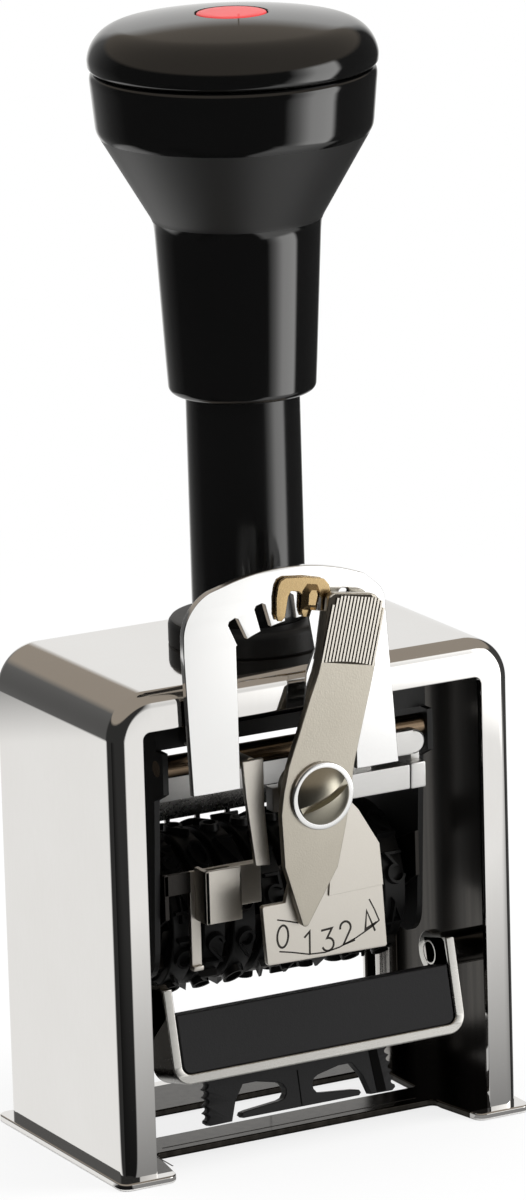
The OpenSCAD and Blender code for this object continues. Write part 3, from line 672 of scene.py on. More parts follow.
def housingSection():
    # points across the sheet: 0 measures from the outer corner, 1 from the window corner, then reach and y
    s = housing
    rc, re, t, lip = s["cornerRadius"], s["edgeRadius"], s["sheet"], s["lip"]
    d, wr, ri = s["halfDepth"], s["windowCorner"], s["edgeRadius"] - s["sheet"]
    section = [(0, rc - re + re * sinDeg(a), -d + re - re * cosDeg(a)) for a in range(0, 91, 9)]
    section += [(0, rc, y) for y in (-d / 2, 0.0, d / 2)]
    section += [(0, rc - re + re * cosDeg(a), d - re + re * sinDeg(a)) for a in range(0, 91, 9)]
    section += [(1, wr + lip, d), (1, wr + lip * 0.3, d - lip * 0.3), (1, wr, d - lip), (1, wr, d - t + lip),
                (1, wr + lip, d - t)]
    section += [(0, rc - t - ri + ri * sinDeg(a), d - t - ri + ri * cosDeg(a)) for a in (0, 30, 60, 90)]
    section += [(0, rc - t - ri + ri * cosDeg(a), -d + t + ri - ri * sinDeg(a)) for a in (0, 30, 60, 90)]
    return section + [(1, wr + lip, -d + t), (1, wr, -d + t - lip), (1, wr, -d + lip),
                      (1, wr + lip * 0.3, -d + lip * 0.3), (1, wr + lip, -d)]


def makeHousing():
    stations, section = housingStations(), housingSection()
    vertices, count = [], len(section)
    for outer, window, angle in stations:
        for kind, reach, y in section:
            mx, mz = window if kind else outer
            vertices.append(place(mx + cosDeg(angle) * reach, y, mz + sinDeg(angle) * reach))
    faces = bandFaces(len(stations), count, False)
    faces += [tuple(range(count)), tuple((len(stations) - 1) * count + p for p in range(count))]
    piece = meshObject("housingShell", vertices, faces, sharp=28.0)
    dress(piece, "shellChrome", "frame", "chrome_shell", "housing")


makeHousing()
print("housing done")

# base plate with its feet, notch and opening

basePlate = {"halfX": 31.3, "halfY": 18.6, "thick": 1.0, "corner": 1.5, "barFront": -9.0, "openHalf": 22.0,
             "openFront": -2.9, "openBack": 7.2, "openCorner": 0.4, "footX": 24.3, "footCorner": 1.6,
             "notchX": 20.6, "notchCorner": 0.9, "slopeX": 21.5, "scribeLow": -0.02, "scribeHigh": 0.012}


def makeBase():
    s = basePlate
    hx, hy, r, bar = s["halfX"], s["halfY"], s["corner"], s["barFront"]
    fx, fr, nx, nr = s["footX"], s["footCorner"], s["notchX"], s["notchCorner"]
    outline = arcPoints(hx - r, hy - r, r, 0, 90, 8) + arcPoints(-hx + r, hy - r, r, 90, 180, 8)
    outline += arcPoints(-hx + r, -hy + r, r, 180, 270, 8) + arcPoints(-fx, -hy + fr, fr, 270, 352, 8)
    outline += [(-s["slopeX"], bar - fr)] + arcPoints(-nx, bar - nr, nr, 170, 90, 5)
    outline += arcPoints(nx, bar - nr, nr, 90, 10, 5) + [(s["slopeX"], bar - fr)]
    outline += arcPoints(fx, -hy + fr, fr, 188, 270, 8) + arcPoints(hx - r, -hy + r, r, 270, 360, 8)
    c = s["openCorner"]
    ox, low, high = s["openHalf"] - c, s["openFront"] + c, s["openBack"] - c
    opening = arcPoints(ox, high, c, 90, 0, 3) + arcPoints(ox, low, c, 0, -90, 3)
    opening += arcPoints(-ox, low, c, -90, -180, 3) + arcPoints(-ox, high, c, 180, 90, 3)
    piece = sheet("basePlate", [outline, opening], -s["thick"], 0.0, 0.22, place)
    # scribed lines on the front bar and the left foot, drawn as thin dark strips: painted shade in their grooves
    lines = [block("scribe", x1, x2, y1, y2, s["scribeLow"], s["scribeHigh"], 0.005)
             for x1, x2, y1, y2 in ((-19.5, 19.5, -7.6, -7.3), (-21.9, -21.7, -14.8, -9.8))]
    dress(piece, "shellChrome", "frame", "chrome_shell", "base_plate")
    dress(joined("baseScribes", lines), "engravedGrooveShade", "frame", "chrome_shell")


makeBase()
print("base plate done")

# handle, knob and the red disc

handle = {"knob": 19.2, "ball": 5.0, "ballZ": 144.4, "dome": 80.0, "seam": 143.3, "dot": 4.66, "recess": 1.2,
          "skirtBottom": 100.0, "coneBottom": 123.4, "coneTop": 134.9, "skirt": 11.1, "bore": 7.68,
          "boreTop": 136.0, "dotGap": 0.15, "dotDrop": 0.1}


def domeTop():
    s = handle
    tangent = math.asin((s["knob"] - s["ball"]) / (s["dome"] - s["ball"]))
    return s["ballZ"] - (s["dome"] - s["ball"]) * math.cos(tangent) + s["dome"], tangent


def makeHandle():
    s = handle
    k, b, seam, foot, coneFoot, coneTop = (s[key] for key in (
        "knob", "skirt", "seam", "skirtBottom", "coneBottom", "coneTop"))
    dome, ball, ballZ, dot = s["dome"], s["ball"], s["ballZ"], s["dot"]
    top, tangent = domeTop()
    dotFoot = top - s["recess"]
    domeMiddle = top - dome
    ballX = k - ball
    rim = dot + s["dotGap"]
    profile = [(nearAxis, seam), (k - 1.0, seam), (k - 0.62, seam + 0.12),
               (k - 0.3, seam + 0.4), (k - 0.08, seam + 0.75)]
    lean = math.degrees(tangent)
    profile += [(ballX + ball * cosDeg(a), ballZ + ball * sinDeg(a))
                for a in [6 + (84 - lean) * i / 14 for i in range(15)]]
    low = math.degrees(math.asin((rim + 0.12) / dome))
    profile += [(dome * sinDeg(a), domeMiddle + dome * cosDeg(a))
                for a in [lean - (lean - low) * i / 14 for i in range(1, 15)]]
    rimZ = domeMiddle + dome * cosDeg(low)
    profile += [(rim, rimZ - 0.12), (rim, dotFoot), (nearAxis, dotFoot)]
    cap = lathe("knobCap", profile, 160, sharp=40.0)
    dress(cap, "handleBlack", "plunger", "black_gloss", "knob_cap")

    dotTop = top - s["dotDrop"]
    disc = [(nearAxis, dotFoot), (dot, dotFoot), (dot, dotTop - 0.25),
            (dot - 0.1, dotTop - 0.09), (dot - 0.3, dotTop - 0.02)]
    disc += [(dot * (1 - i / 6), dotTop - 0.02 + 0.02 * i / 6) for i in range(2, 6)] + [(nearAxis, dotTop)]
    dress(lathe("redDisc", disc, sharp=40.0), "dotRed", "plunger", "red_disc", "top_dot")

    body = [(s["bore"], foot + 0.3), (s["bore"] + 0.3, foot)]
    body += arcPoints(b - 2.25, foot + 1.0, 1.0, -90, 0, 8)
    body += [(b - 1.23 + 1.13 * i / 6, foot + 1.0 + (coneFoot - foot - 2.8) * i / 6)
             for i in range(1, 7)]
    # soft turn from the skirt into the cone, then the cone, then the rolled edge of the band
    coneLow, coneHigh = (b + 0.5, coneFoot + 0.55), (k - 1.42, coneTop - 0.35)
    body += [(b - 0.03, coneFoot - 1.1), (b + 0.06, coneFoot - 0.5),
             (b + 0.25, coneFoot + 0.05), coneLow]
    body += [(coneLow[0] + (coneHigh[0] - coneLow[0]) * i / 5, coneLow[1] + (coneHigh[1] - coneLow[1]) * i / 5)
             for i in range(1, 6)]
    body += [(k - 1.16, coneTop + 0.1), (k - 1.0, coneTop + 0.45), (k - 0.88, coneTop + 0.85),
             (k - 0.81, coneTop + 1.4)]
    bandLow, bandHigh = coneTop + 1.4, seam - 1.4
    body += [(k - 0.81 + 0.52 * i / 5, bandLow + (bandHigh - bandLow) * i / 5) for i in range(1, 6)]
    body += [(k - 0.28, seam - 0.9), (k - 0.34, seam - 0.5), (k - 0.55, seam - 0.16),
             (k - 1.0, seam), (nearAxis, seam), (nearAxis, s["boreTop"]), (s["bore"], s["boreTop"])]
    dress(lathe("handleGrip", body, 160, sharp=50.0), "handleBlack", "plunger", "black_gloss", "handle_grip")


makeHandle()

guide = {"tube": 7.6, "tubeBore": 6.2, "tubeTop": 112.0, "tubeFoot": 62.6, "flange": 10.0, "flangeTop": 64.6,
         "collar": 10.9, "collarLow": 65.8, "collarHigh": 69.3}


def makeGuide():
    s = guide
    tube = [(s["tubeBore"], s["tubeTop"]), (s["tubeBore"], s["tubeFoot"]), (s["flange"], s["tubeFoot"]),
            (s["flange"], s["flangeTop"]), (s["tube"], s["flangeTop"]), (s["tube"], s["tubeTop"] - 0.4),
            (s["tube"] - 0.3, s["tubeTop"])]
    dress(lathe("guideTube", tube), "tubeBlack", "frame", "black_gloss", "guide_tube")
    low, high, r = s["collarLow"], s["collarHigh"], s["collar"]
    collar = [(s["tube"], low), (r - 0.25, low), (r, low + 0.25), (r, high - 1.0), (r - 0.1, high - 0.55),
              (r - 0.4, high - 0.15), (r - 0.8, high), (s["tube"] + 0.35, high), (s["tube"] + 0.1, high - 0.1),
              (s["tube"], high - 0.35)]
    dress(lathe("guideCollar", collar), "castBlack", "frame", "black_satin", "guide_collar")


makeGuide()
print("handle and guide done")

# arch plate with its comb

arch = {"pivotX": -1.2, "pivotZ": 49.3, "tip": 24.0, "slotEnd": 27.5, "slotWidth": 1.6, "slots": 5,
        "tilt": 11.5, "step": 9.0, "front": -18.9, "back": -17.9, "left": -12.1, "right": 5.4, "foot": 51.4}


def makeArch():
    s = arch
    outline = [(-19.1, s["foot"]), (-19.9, 70.5)] + arcPoints(-13.3, 72.4, 6.6, 174, 112, 10)
    outline += arcPoints(-5.0, 49.1, 31.2, 106, 67, 18) + arcPoints(6.9, 73.6, 3.4, 52, -4, 8)
    outline += [(11.75, s["foot"]), (s["right"], s["foot"])]
    px, pz, tip, end, half = s["pivotX"], s["pivotZ"], s["tip"], s["slotEnd"], s["slotWidth"] / 2

    def polar(r, angle, aside=0.0):
        return (px + r * sinDeg(angle) + aside * cosDeg(angle), pz + r * cosDeg(angle) - aside * sinDeg(angle))
    leftAngle, edge = (math.degrees(math.asin((s[side] - px) / tip)) for side in ("left", "right"))
    outline.append(polar(tip, edge))
    for k in range(s["slots"]):
        middle = s["tilt"] - s["step"] * k
        wide = math.degrees(math.asin(half / tip))
        steps = max(1, int((edge - middle - wide) / 1.5))
        outline += [polar(tip, edge + (middle + wide - edge) * i / steps) for i in range(1, steps + 1)]
        outline += [polar(end - 0.35, middle, half), polar(end, middle, half - 0.35),
                    polar(end, middle, -half + 0.35), polar(end - 0.35, middle, -half)]
        outline.append(polar(tip, middle - wide))
        edge = middle - wide
    outline += [polar(tip, leftAngle), (s["left"], s["foot"])]
    piece = sheet("archPlate", [outline], s["front"], s["back"], 0.12)
    dress(piece, "plateChrome", "plunger", "chrome_bright", "arch_plate")


makeArch()
print("arch plate done")

# index lever, its leaf and the brass tongue

lever = {"pivotX": -1.2, "pivotZ": 49.3, "tilt": 11.5, "front": -21.0, "back": -20.0, "bore": 3.05, "leaf": 0.4,
         "tongue": 0.4, "ribsLeft": -3.0, "ribsLow": 17.75, "ribsLean": 0.045, "bossMiddle": (-5.35, 26.2),
         "ribs": {"count": 16, "pitch": 0.512, "rib": 0.19, "fill": 0.56, "length": 9.1, "drop": 1.3, "dip": 0.35}}


def alongLever(a, b, c):
    x, z = turned(a, b, -lever["tilt"])
    return place(lever["pivotX"] + x, c, lever["pivotZ"] + z)


def makeLever():
    s = lever
    outline = [(-3.15, 17.9), (-3.44, 26.2)] + arcPoints(-2.54, 26.2, 0.9, 175, 92, 5)
    outline += arcPoints(2.8, 25.6, 1.75, 88, 2, 8)
    outline += [(5.13, 18.0), (5.07, 16.6), (4.95, 14.5), (4.77, 12.1), (4.5, 8.0), (4.3, 4.7), (4.42, 0.0),
                (4.46, -4.1), (4.2, -9.5)]
    outline += arcPoints(0.62, -17.3, 0.55, -25, -155, 5)
    outline += [(-3.86, -10), (-5.6, -3), (-5.75, 0), (-5.6, 3.6), (-4.6, 9.2), (-3.95, 13), (-3.3, 16.2)]
    hole = arcPoints(0, 0, s["bore"], 360, 0, 40)[:-1]
    blade = sheet("leverBlade", [outline, hole], s["front"], s["back"], 0.14, alongLever)
    dress(blade, "leverNickel", "lever", "nickel_satin", "index_lever")
    ribs = ribTree().grow("thumbRibs", s["ribs"], lambda a, b, c: alongLever(
        a + s["ribsLeft"] + s["ribsLean"] * c, c + s["ribsLow"], s["front"] - 0.02 + b))
    dress(ribs, "paintedRibHighlight", "lever", "nickel_satin")
    # a near-black sheet behind the ribs: painted shade in the gaps between them
    valleys = [(-3.1, s["ribsLow"]), (-3.38, 26.3), (-2.5, 26.95), (2.85, 27.2), (4.4, 25.9), (4.98, s["ribsLow"])]
    valley = sheet("ribValleys", [valleys], s["front"] - 0.03, s["front"] + 0.05, 0.01, alongLever)
    dress(valley, "paintedValleyShade", "lever", "nickel_satin")
    leafBack, tongueBack = s["back"] + s["leaf"], s["back"] + s["leaf"] + s["tongue"]
    leaf = sheet("tongueLeaf", [[(-5.4, 23.4), (-3.85, 19.3), (-4.5, 15.9), (-3.6, 8), (3.5, 8), (3.5, 24.5),
                                 (-5.2, 24.5)]], s["back"], leafBack, 0.08, alongLever)
    dress(leaf, "plateChrome", "lever", "nickel_satin", "index_leaf")
    tongue = [(-10.5, 25.6), (-10.5, 27.2), (-10.2, 28), (-9.5, 28.45), (-6.5, 28.75), (-3.7, 28.65), (-2.8, 27.9),
              (-2.4, 26.8), (0, 26.4), (2.5, 26.2), (2.5, 22.6), (-3.2, 22.6), (-3.6, 26), (-4.2, 26.4),
              (-4.3, 24.0), (-4.7, 23.4), (-6, 23.4), (-6.4, 24.0), (-6.6, 26.2), (-7.2, 26.7), (-8.4, 26.7),
              (-8.7, 25.9), (-8.7, 23.2), (-9.1, 22.6), (-9.7, 22.6), (-10.1, 23.3)]
    flat = sheet("tongueSheet", [tongue], leafBack, tongueBack, 0.12, alongLever)
    # stamped boss on the middle prong: the foot's outline drawn in towards its middle
    foot = [(-6.5, 24.3), (-4.2, 24.3), (-4.0, 26.8), (-4.6, 27.9), (-6.2, 27.9), (-6.8, 26.8)]
    (mx, mz), shareX, shareZ = s["bossMiddle"], 0.45, 0.55
    crown = [(a * shareX + mx * (1 - shareX), b * shareZ + mz * (1 - shareZ)) for a, b in foot]
    n = len(foot)
    spots = [alongLever(a, b, s["back"] + 0.45) for a, b in foot]
    spots += [alongLever(a, b, s["back"] - 0.25) for a, b in crown]
    faces = [(i, (i + 1) % n, n + (i + 1) % n, n + i) for i in range(n)]
    boss = meshObject("tongueBoss", spots, faces + [tuple(range(n)), tuple(range(n, 2 * n))])
    dress(joined("brassTongue", [flat, boss]), "tongueBrass", "lever", "brass_tongue", "index_tongue")


makeLever()
print("index lever done")

# scale plate, pivot screw and ring

scale = {"front": -19.7, "back": -18.9, "figureSize": 3.3, "stroke": 0.3, "line": 0.2, "hub": 4.3, "bore": 3.0,
         "grooveShadeFront": -19.712, "grooveShadeBack": -19.68, "step": 0.27}


def makeScale():
    s = scale
    px, pz = arch["pivotX"], arch["pivotZ"]
    outline = [(-9.85, 34.85), (-9.3, 27.1), (-9.05, 26.8), (8.6, 26.52), (8.85, 26.75), (8.4, 34.9), (7.95, 41),
               (4.9, 46.2), (2.6, 49.0)]
    outline += arcPoints(px, pz, s["hub"], 25, 155, 16) + [(-4.6, 46), (-4.6, 41), (-6.4, 35.1), (-9.6, 35.1)]
    hole = arcPoints(px, pz, s["bore"], 360, 0, 40)[:-1]
    plate = sheet("scalePlate", [outline, hole], s["front"], s["back"], 0.12)
    dress(plate, "scaleNickel", "plunger", "nickel_warm", "scale_plate")
    # step of the upper half: a thin raised sheet whose lower edge throws the shadow line
    raised = [(0.1, 35.0), (8.36, 35.2), (7.92, 41), (4.85, 46.2), (2.8, 48.4), (1.0, 46.0)]
    raised = sheet("scaleStep", [raised], s["front"] - s["step"], s["front"] + 0.05, 0.06)
    dress(raised, "scaleNickel", "plunger", "nickel_warm")
    # the engraved figures and lines are thin dark strips on the face: painted shade in their grooves
    marks = []
    spots = {0: (-6.9, 30.5, 4), 1: (-3.0, 29.0, 1), 3: (-0.1, 28.9, -4), 2: (2.7, 29.5, -12), 4: (6.1, 30.4, -22)}
    for figure, (x, z, turn) in spots.items():
        def spot(a, b, c, x=x, z=z, turn=turn):
            across, up = turned(a, b, -turn)
            return place(x + across, c, z + up)
        marks.append(figureMesh("mark", figure, s["figureSize"], s["stroke"], s["grooveShadeFront"], s["grooveShadeBack"], spot))
    lines = [[(-7.4, 28.5), (-5.6, 28.1), (-3.0, 27.4), (-0.6, 27.25), (1.6, 27.6), (4.2, 28.5), (6.6, 29.6),
              (7.7, 30.3), (7.0, 32.0), (6.3, 33.4)], [(-7.6, 32.9), (-5.8, 32.4), (-4.6, 32.0)]]
    for points in lines:
        vertices, faces = ribbon(points, s["line"], s["grooveShadeFront"], s["grooveShadeBack"])
        marks.append(meshObject("mark", [upright(*v) for v in vertices], faces, smooth=False))
    dress(joined("scaleFigures", marks), "engravedGrooveShade", "plunger", "nickel_warm")


def frontLathe(name, profile):
    # turned about the lever's pivot, h runs along y
    return lathe(name, profile, where=lambda x, y, h: place(arch["pivotX"] + x, h, arch["pivotZ"] + y))


screw = {"head": 3.9, "height": 1.65, "faceY": -21.55, "slotWidth": 0.95, "slotDepth": 1.5, "slotTurn": 25.0}


def makeScrew():
    s = screw
    face, crown, half = s["faceY"], s["faceY"] - s["height"], s["slotWidth"] / 2
    ball = (s["head"] ** 2 + s["height"] ** 2) / (2 * s["height"])
    widest = math.degrees(math.asin(s["head"] / ball))
    profile = [(nearAxis, face), (s["head"] - 0.1, face)]
    profile += [(ball * sinDeg(a), crown + ball - ball * cosDeg(a))
                for a in [widest - (widest - 0.2) * i / 20 for i in range(21)]]
    head = frontLathe("pivotScrew", profile)

    def slotSpot(x, y, z):
        across, up = turned(x, z, s["slotTurn"])
        return place(arch["pivotX"] + across, y, arch["pivotZ"] + up)
    cutter = block("slotCutter", -6, 6, crown - 1, crown + s["slotDepth"], -half, half, 0.05, slotSpot)
    cut = head.modifiers.new("slot", "BOOLEAN")
    cut.operation = "DIFFERENCE"
    cut.solver = "EXACT"
    cut.object = cutter
    applied(head)
    bpy.data.objects.remove(cutter)
    shadeSmooth(head.data, 28.0)
    dress(head, "screwNickel", "plunger", "screw_nickel", "pivot_screw")
    ring = [(3.0, -21.05), (4.5, -21.05), (4.6, -21.15), (4.6, -21.4), (4.5, -21.53), (4.3, -21.58), (3.9, -21.56),
            (3.0, -21.5)]
    dress(frontLathe("pivotRing", ring), "plateChrome", "plunger", "chrome_bright", "pivot_ring")


makeScale()
makeScrew()
print("scale and pivot done")

# carriage: bracket bars, stop strip, pawl carrier block

carriage = {"barFront": -14.5, "barBack": -12.5, "barLow": 45.9, "barHigh": 49.3, "armHigh": 51.6, "joint": 15.9,
            "armBack": -8.4, "stopZ": 53.6, "stopFront": -17.25, "stopBack": -16.55}


def makeCarriage():
    s = carriage
    f, b, low, high = s["barFront"], s["barBack"], s["barLow"], s["barHigh"]
    bars = ((-5, s["joint"], f, b, low, high, 0.25),
            (s["joint"] + 0.15, 18.4, f + 0.1, b, low - 0.1, high + 0.1, 0.3),
            (6, 16.8, f + 0.3, b - 0.1, 50.5, 53.9, 0.3),
            (17.0, 18.4, b - 0.2, s["armBack"], low, s["armHigh"], 0.2),
            (17.0, 19.6, s["armBack"] - 1.5, s["armBack"], low, s["armHigh"], 0.2),
            (7, 11, b - 0.2, b + 1.0, low, s["armHigh"], 0.2))
    parts = [block("bar", *sizes) for sizes in bars]
    parts.append(rod("bar", (16.8, f + 0.31, 52.2), (16.8, b - 0.11, 52.2), 1.69, 0.25))
    dress(joined("frontBracket", parts), "barAluminium", "plunger", "aluminium_bar", "front_bracket")

    z = s["stopZ"]
    outline = [(-10.8, z + 0.9), (-10.5, z - 4), (-9.3, z - 13.6), (-7.1, z - 13.8), (-7.7, z - 5.6),
               (-7.7, z + 0.9)]
    strip = sheet("stopStripSheet", [outline], s["stopFront"], s["stopBack"], 0.12)
    pin = rod("stopPin", (-9.2, s["stopBack"] - 0.05, z), (-9.2, b + 0.1, z), 1.0)
    dress(joined("stopStrip", [strip, pin]), "scaleNickel", "plunger", "nickel_satin", "stop_strip")


# y and z are measured from the wheel shaft; the block's sheets are given as x, y and z from and to
pawlCarrier = {"outer": 19.4, "sheet": 0.7, "hub": 4.6, "bore": 2.05, "lean": 12.0, "rearFrom": 12.6,
               "rearTo": 13.4, "rearHalf": 1.6, "front": -11.75, "tab": -15.65}


def makePawlCarrier():
    s = pawlCarrier
    outer, hub, lean, back = s["outer"], s["hub"], s["lean"], s["front"]
    front = back - s["sheet"]
    loop = [turned(s["rearTo"], s["rearHalf"], lean), turned(3.4, 3.6, lean)] + arcPoints(0, 0, hub, 75, 105, 4)
    loop += [(-3.0, hub), (front, 8.6), (front, 2.4), (-3.0, -3.6)] + arcPoints(0, 0, hub, 240, 290, 5)
    loop += [turned(3.4, -3.6, lean), turned(s["rearTo"], -s["rearHalf"], lean)]
    hole = arcPoints(0, 0, s["bore"], 360, 0, 32)[:-1]
    parts = [sheet("arm", [loop, hole], low, low + s["sheet"], 0.1, lambda a, b, c: aboutAxle(c, a, b))
             for low in (-outer, outer - s["sheet"])]
    parts.append(block("rearBar", -outer, outer, s["rearFrom"], s["rearTo"], -s["rearHalf"], s["rearHalf"], 0.15,
                       lambda x, y, z: aboutAxle(x, *turned(y, z, lean))))
    parts.append(block("link", -outer, -15.4, front, back, 5.6, 8.5, 0.12, aboutAxle))
    # the carrier is nickel; its near-black finish here is painted shade
    dress(joined("pawlCarrier", parts), "blackenedSteelAndShade", "pawls", "nickel_satin", "pawl_carrier")
    tab = s["tab"]
    bends = ((-14.9, -9.5, tab, tab + s["sheet"], 1.8, 9.1), (-14.9, -14.2, tab, front, 1.8, 9.1),
             (-9.9, -9.5, tab, front, 3, 8.5), (-9.5, -5.4, -13.45, front, 3, 8.5),
             (-15.6, -5.4, front, back, 3, 8.5),
             (-15.6, -14.1, front, back, -5.2, 3.2), (-15.6, -14.1, back - 1.2, back - 0.1, -5.2, -4.5))
    bent = [block("bend", *sizes, 0.15, aboutAxle) for sizes in bends]
    dress(joined("pawlBlock", bent), "scaleNickel", "pawls", "nickel_satin")


makeCarriage()
makePawlCarrier()
print("carriage done")

# number wheels and ratchets

wheels = {"count": 8, "pitch": 4.6, "gap": 0.2, "band": 10.4, "bore": 2.05, "figureSize": 4.4,
          "figureStroke": 0.55, "figureHeight": 0.75, "figureTaper": 0.09, "shown": 3, "step": 3,
          "ratchet": {"teeth": 10, "tip": 9.5, "root": 8.2, "bore": 2.05, "width": 1.1}}


def makeWheels():
    s = wheels
    store = bpy.data.collections.new("figures")
    bpy.context.scene.collection.children.link(store)
    holders = []
    for figure in range(10):
        # a figure stands on the band facing outwards: its height runs round the wheel, its width along the axle
        made = figureMesh("figure" + str(figure), figure, s["figureSize"], s["figureStroke"], -0.25,
                          s["figureHeight"], lambda a, b, c: Vector((c, -b, -a)), s["figureTaper"])
        bpy.context.collection.objects.unlink(made)
        store.objects.link(made)
        holders.append(made)
    types, teeth, band, bore = typeTree(store), ratchetTree(), s["band"], s["bore"]
    for i in range(s["count"]):
        left = -s["count"] * s["pitch"] / 2 + s["gap"] / 2 + i * s["pitch"]
        x0, x1 = left + s["ratchet"]["width"], left + s["pitch"] - s["gap"]
        rim = [(bore, x0 + 0.1), (bore + 0.1, x0), (band - 1.6, x0), (band - 1.4, x0 + 0.15),
               (band - 1.2, x0 + 0.15), (band - 1.0, x0), (band - 0.15, x0), (band, x0 + 0.15),
               (band, x1 - 0.15), (band - 0.15, x1), (band - 1.0, x1), (band - 1.2, x1 - 0.25),
               (5.0, x1 - 0.25), (4.8, x1), (bore + 0.1, x1), (bore, x1 - 0.1)]
        number, body = str(i + 1), "wheel_" + str(i + 1)
        wheel = lathe("numberWheel" + number, rim, 80, lambda x, y, h: aboutAxle(h, x, y))
        dress(wheel, "typeBlack", body, "wheel_black", "number_wheel_" + number)
        # the tree's first figure faces straight down; the seventh, a little above the front, is the one shown
        first = (s["shown"] - 7 + (7 - i) * s["step"]) % 10
        raised = types.grow("typeFigures" + number, {"count": 10, "radius": band, "first": first},
                            lambda x, y, z, m=(x0 + x1) / 2: aboutAxle(m + z, *turned(x, y, -90.0)))
        dress(raised, "typeBlack", body, "wheel_black")
        saw = teeth.grow("ratchetRing" + number, s["ratchet"], lambda x, y, z, l=left: aboutAxle(l + z, x, y))
        dress(saw, "blackenedSteelAndShade", body, "ratchet_steel", "ratchet_" + number)
    for made in holders:
        bpy.data.objects.remove(made)
    bpy.data.collections.remove(store)


makeWheels()
print("number wheels done")

# ink flap: stirrup, cassette, pad and clip

flap = {"y": -17.2, "z": 11.6, "lean": 13.0, "half": 22.2, "strip": 1.4, "depth": 6.2, "arm": 13.0, "bend": 2.6,
        "hingeY": -9.8, "hingeZ": 21.1, "ear": 3.0, "bore": 1.5, "boxHigh": 8.0, "boxCorner": 1.2, "padHalf": 18.5,
        "clipMiddle": -1.65, "clipFront": 4.7, "clipBack": 6.3}


def onFlap(x, y, z):
    across, up = turned(y, z, -flap["lean"])
    return place(x, flap["y"] + across, flap["z"] + up)


def flapFront(a, b, c):
    return onFlap(a, c, b)


def makeFlap():
    s = flap
    h, t, r, half = s["arm"], s["strip"], s["bend"], s["half"]
    ey, ez = turned(s["hingeY"] - s["y"], s["hingeZ"] - s["z"], s["lean"])
    # bent strip: an inner and an outer line swept from front to back, with softened edges
    outer = [(-half, h)] + arcPoints(-half + r, r, r, 180, 270, 10) + arcPoints(half - r, r, r, 270, 360, 10)
    inner = [(half - t, h)] + arcPoints(half - r, r, r - t, 360, 270, 10)
    inner += arcPoints(-half + r, r, r - t, 270, 180, 10) + [(-half + t, h)]
    parts = [sheet("stirrupStrip", [outer + [(half, h)] + inner], 0.0, s["depth"], 0.2, flapFront, 3)]
    ear = arcPoints(ey, ez, s["ear"], -60, 120, 14) + [(1.5, h + 0.6), (0.3, h - 0.4), (0.1, h - 4), (ey, ez - 5)]
    hole = arcPoints(ey, ez, s["bore"], 360, 0, 28)[:-1]
    for low in (-half, half - t):
        parts.append(sheet("ear", [ear, hole], low, low + t, 0.18, lambda a, b, c: onFlap(c, a, b)))
    dress(joined("inkStirrup", parts), "stripChrome", "flap", "chrome_strip", "ink_stirrup")

    wide, high, corner, pad = half - t - 0.2, t + s["boxHigh"], s["boxCorner"], s["padHalf"] + 0.1
    box = [(-wide, high)] + arcPoints(-wide + corner, t + corner, corner, 180, 270, 5)
    box += arcPoints(wide - corner, t + corner, corner, 270, 360, 5) + [(wide, high)]
    parts = [sheet("cassetteFront", [box], 0.15, 2.1, 0.18, flapFront)]
    for x1, x2, z1, z2 in ((-wide, wide, t, t + 0.9), (-wide, wide, high - 0.9, high),
                           (-wide, -pad, t + 0.2, high - 0.1), (pad, wide, t + 0.2, high - 0.1)):
        parts.append(block("rim", x1, x2, 1.9, 3.7, z1, z2, 0.12, onFlap))
    dress(joined("inkCassette", parts), "cassetteBlack", "flap", "cassette_black", "ink_cassette")
    felt = block("inkPad", -s["padHalf"], s["padHalf"], 2.1, 3.6, t + 1.0, t + 7.0, 0.5, onFlap)
    dress(felt, "padFelt", "flap", "ink_felt", "ink_pad")

    # one half of the clip; its outer edge runs through five finger scallops
    middle, scallops = s["clipMiddle"], []
    for k in range(5):
        scallops += [(13.95 + 0.1 * k - 0.5 * math.sin(math.pi * i / 6) ** 0.8, -0.64 - 1.05 * k - 0.92 * i / 6)
                     for i in range(7)]
    side = [(13.6, 0)] + scallops + [(14.4, -6.1), (13.9, -6.5), (10.6, -6.45), (9.7, -3.8), (8.3, -1.8),
                                     (6.3, -1.8), (3, -2.5), (2.4, -2.85), (2.05, -3.5), (2.1, -4.2), (2.5, -4.75),
                                     (3.2, -4.95), (8.2, -5.4), (8.9, -5.55), (9.15, -5.95), (8.8, -6.3)]
    clip = [(middle + x, y) for x, y in side] + [(middle - x, y) for x, y in reversed(side)]
    holder = sheet("clipSheet", [clip], s["clipFront"], s["clipBack"], 0.15, flapFront)
    # the middle line and the side channel are thin near-black strips on the clip's face: painted shade in its
    # grooves
    channel = [(middle + x, y) for x, y in ((11.0, -0.5), (12.3, -0.5), (12.9, -6.3), (11.5, -6.3))]
    front = s["clipFront"]
    grooves = [block("clipLine", middle - 0.09, middle + 0.09, front - 0.04, front + 0.04, -6.2, -1.3, 0.01,
                     onFlap),
               sheet("clipChannel", [channel], front - 0.08, front + 0.06, 0.02, flapFront)]
    dress(holder, "cassetteBlack", "flap", "cassette_black", "cassette_clip")
    dress(joined("clipGrooves", grooves), "grooveShadeBlack", "flap", "cassette_black")


makeFlap()
print("ink flap done")

# return spring and the plain CAD pieces that only need their finish

springSize = {"foot": 66.1, "rest": 69.8, "pressed": 50.0, "turns": 15.0, "radius": 4.8, "wire": 0.5}


def makeSpring():
    s = springSize
    sizes = {"turns": s["turns"], "radius": s["radius"], "height": s["rest"] - 2 * s["wire"], "wire": s["wire"]}
    spring = coilTree().grow("returnSpring", sizes, lambda x, y, z: place(x, y, s["foot"] + s["wire"] + z))
    dress(spring, "springSteel", "frame", "spring_steel", "return_spring")
    tuple(place(0, 0, s["foot"]))
    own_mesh(spring)


makeSpring()

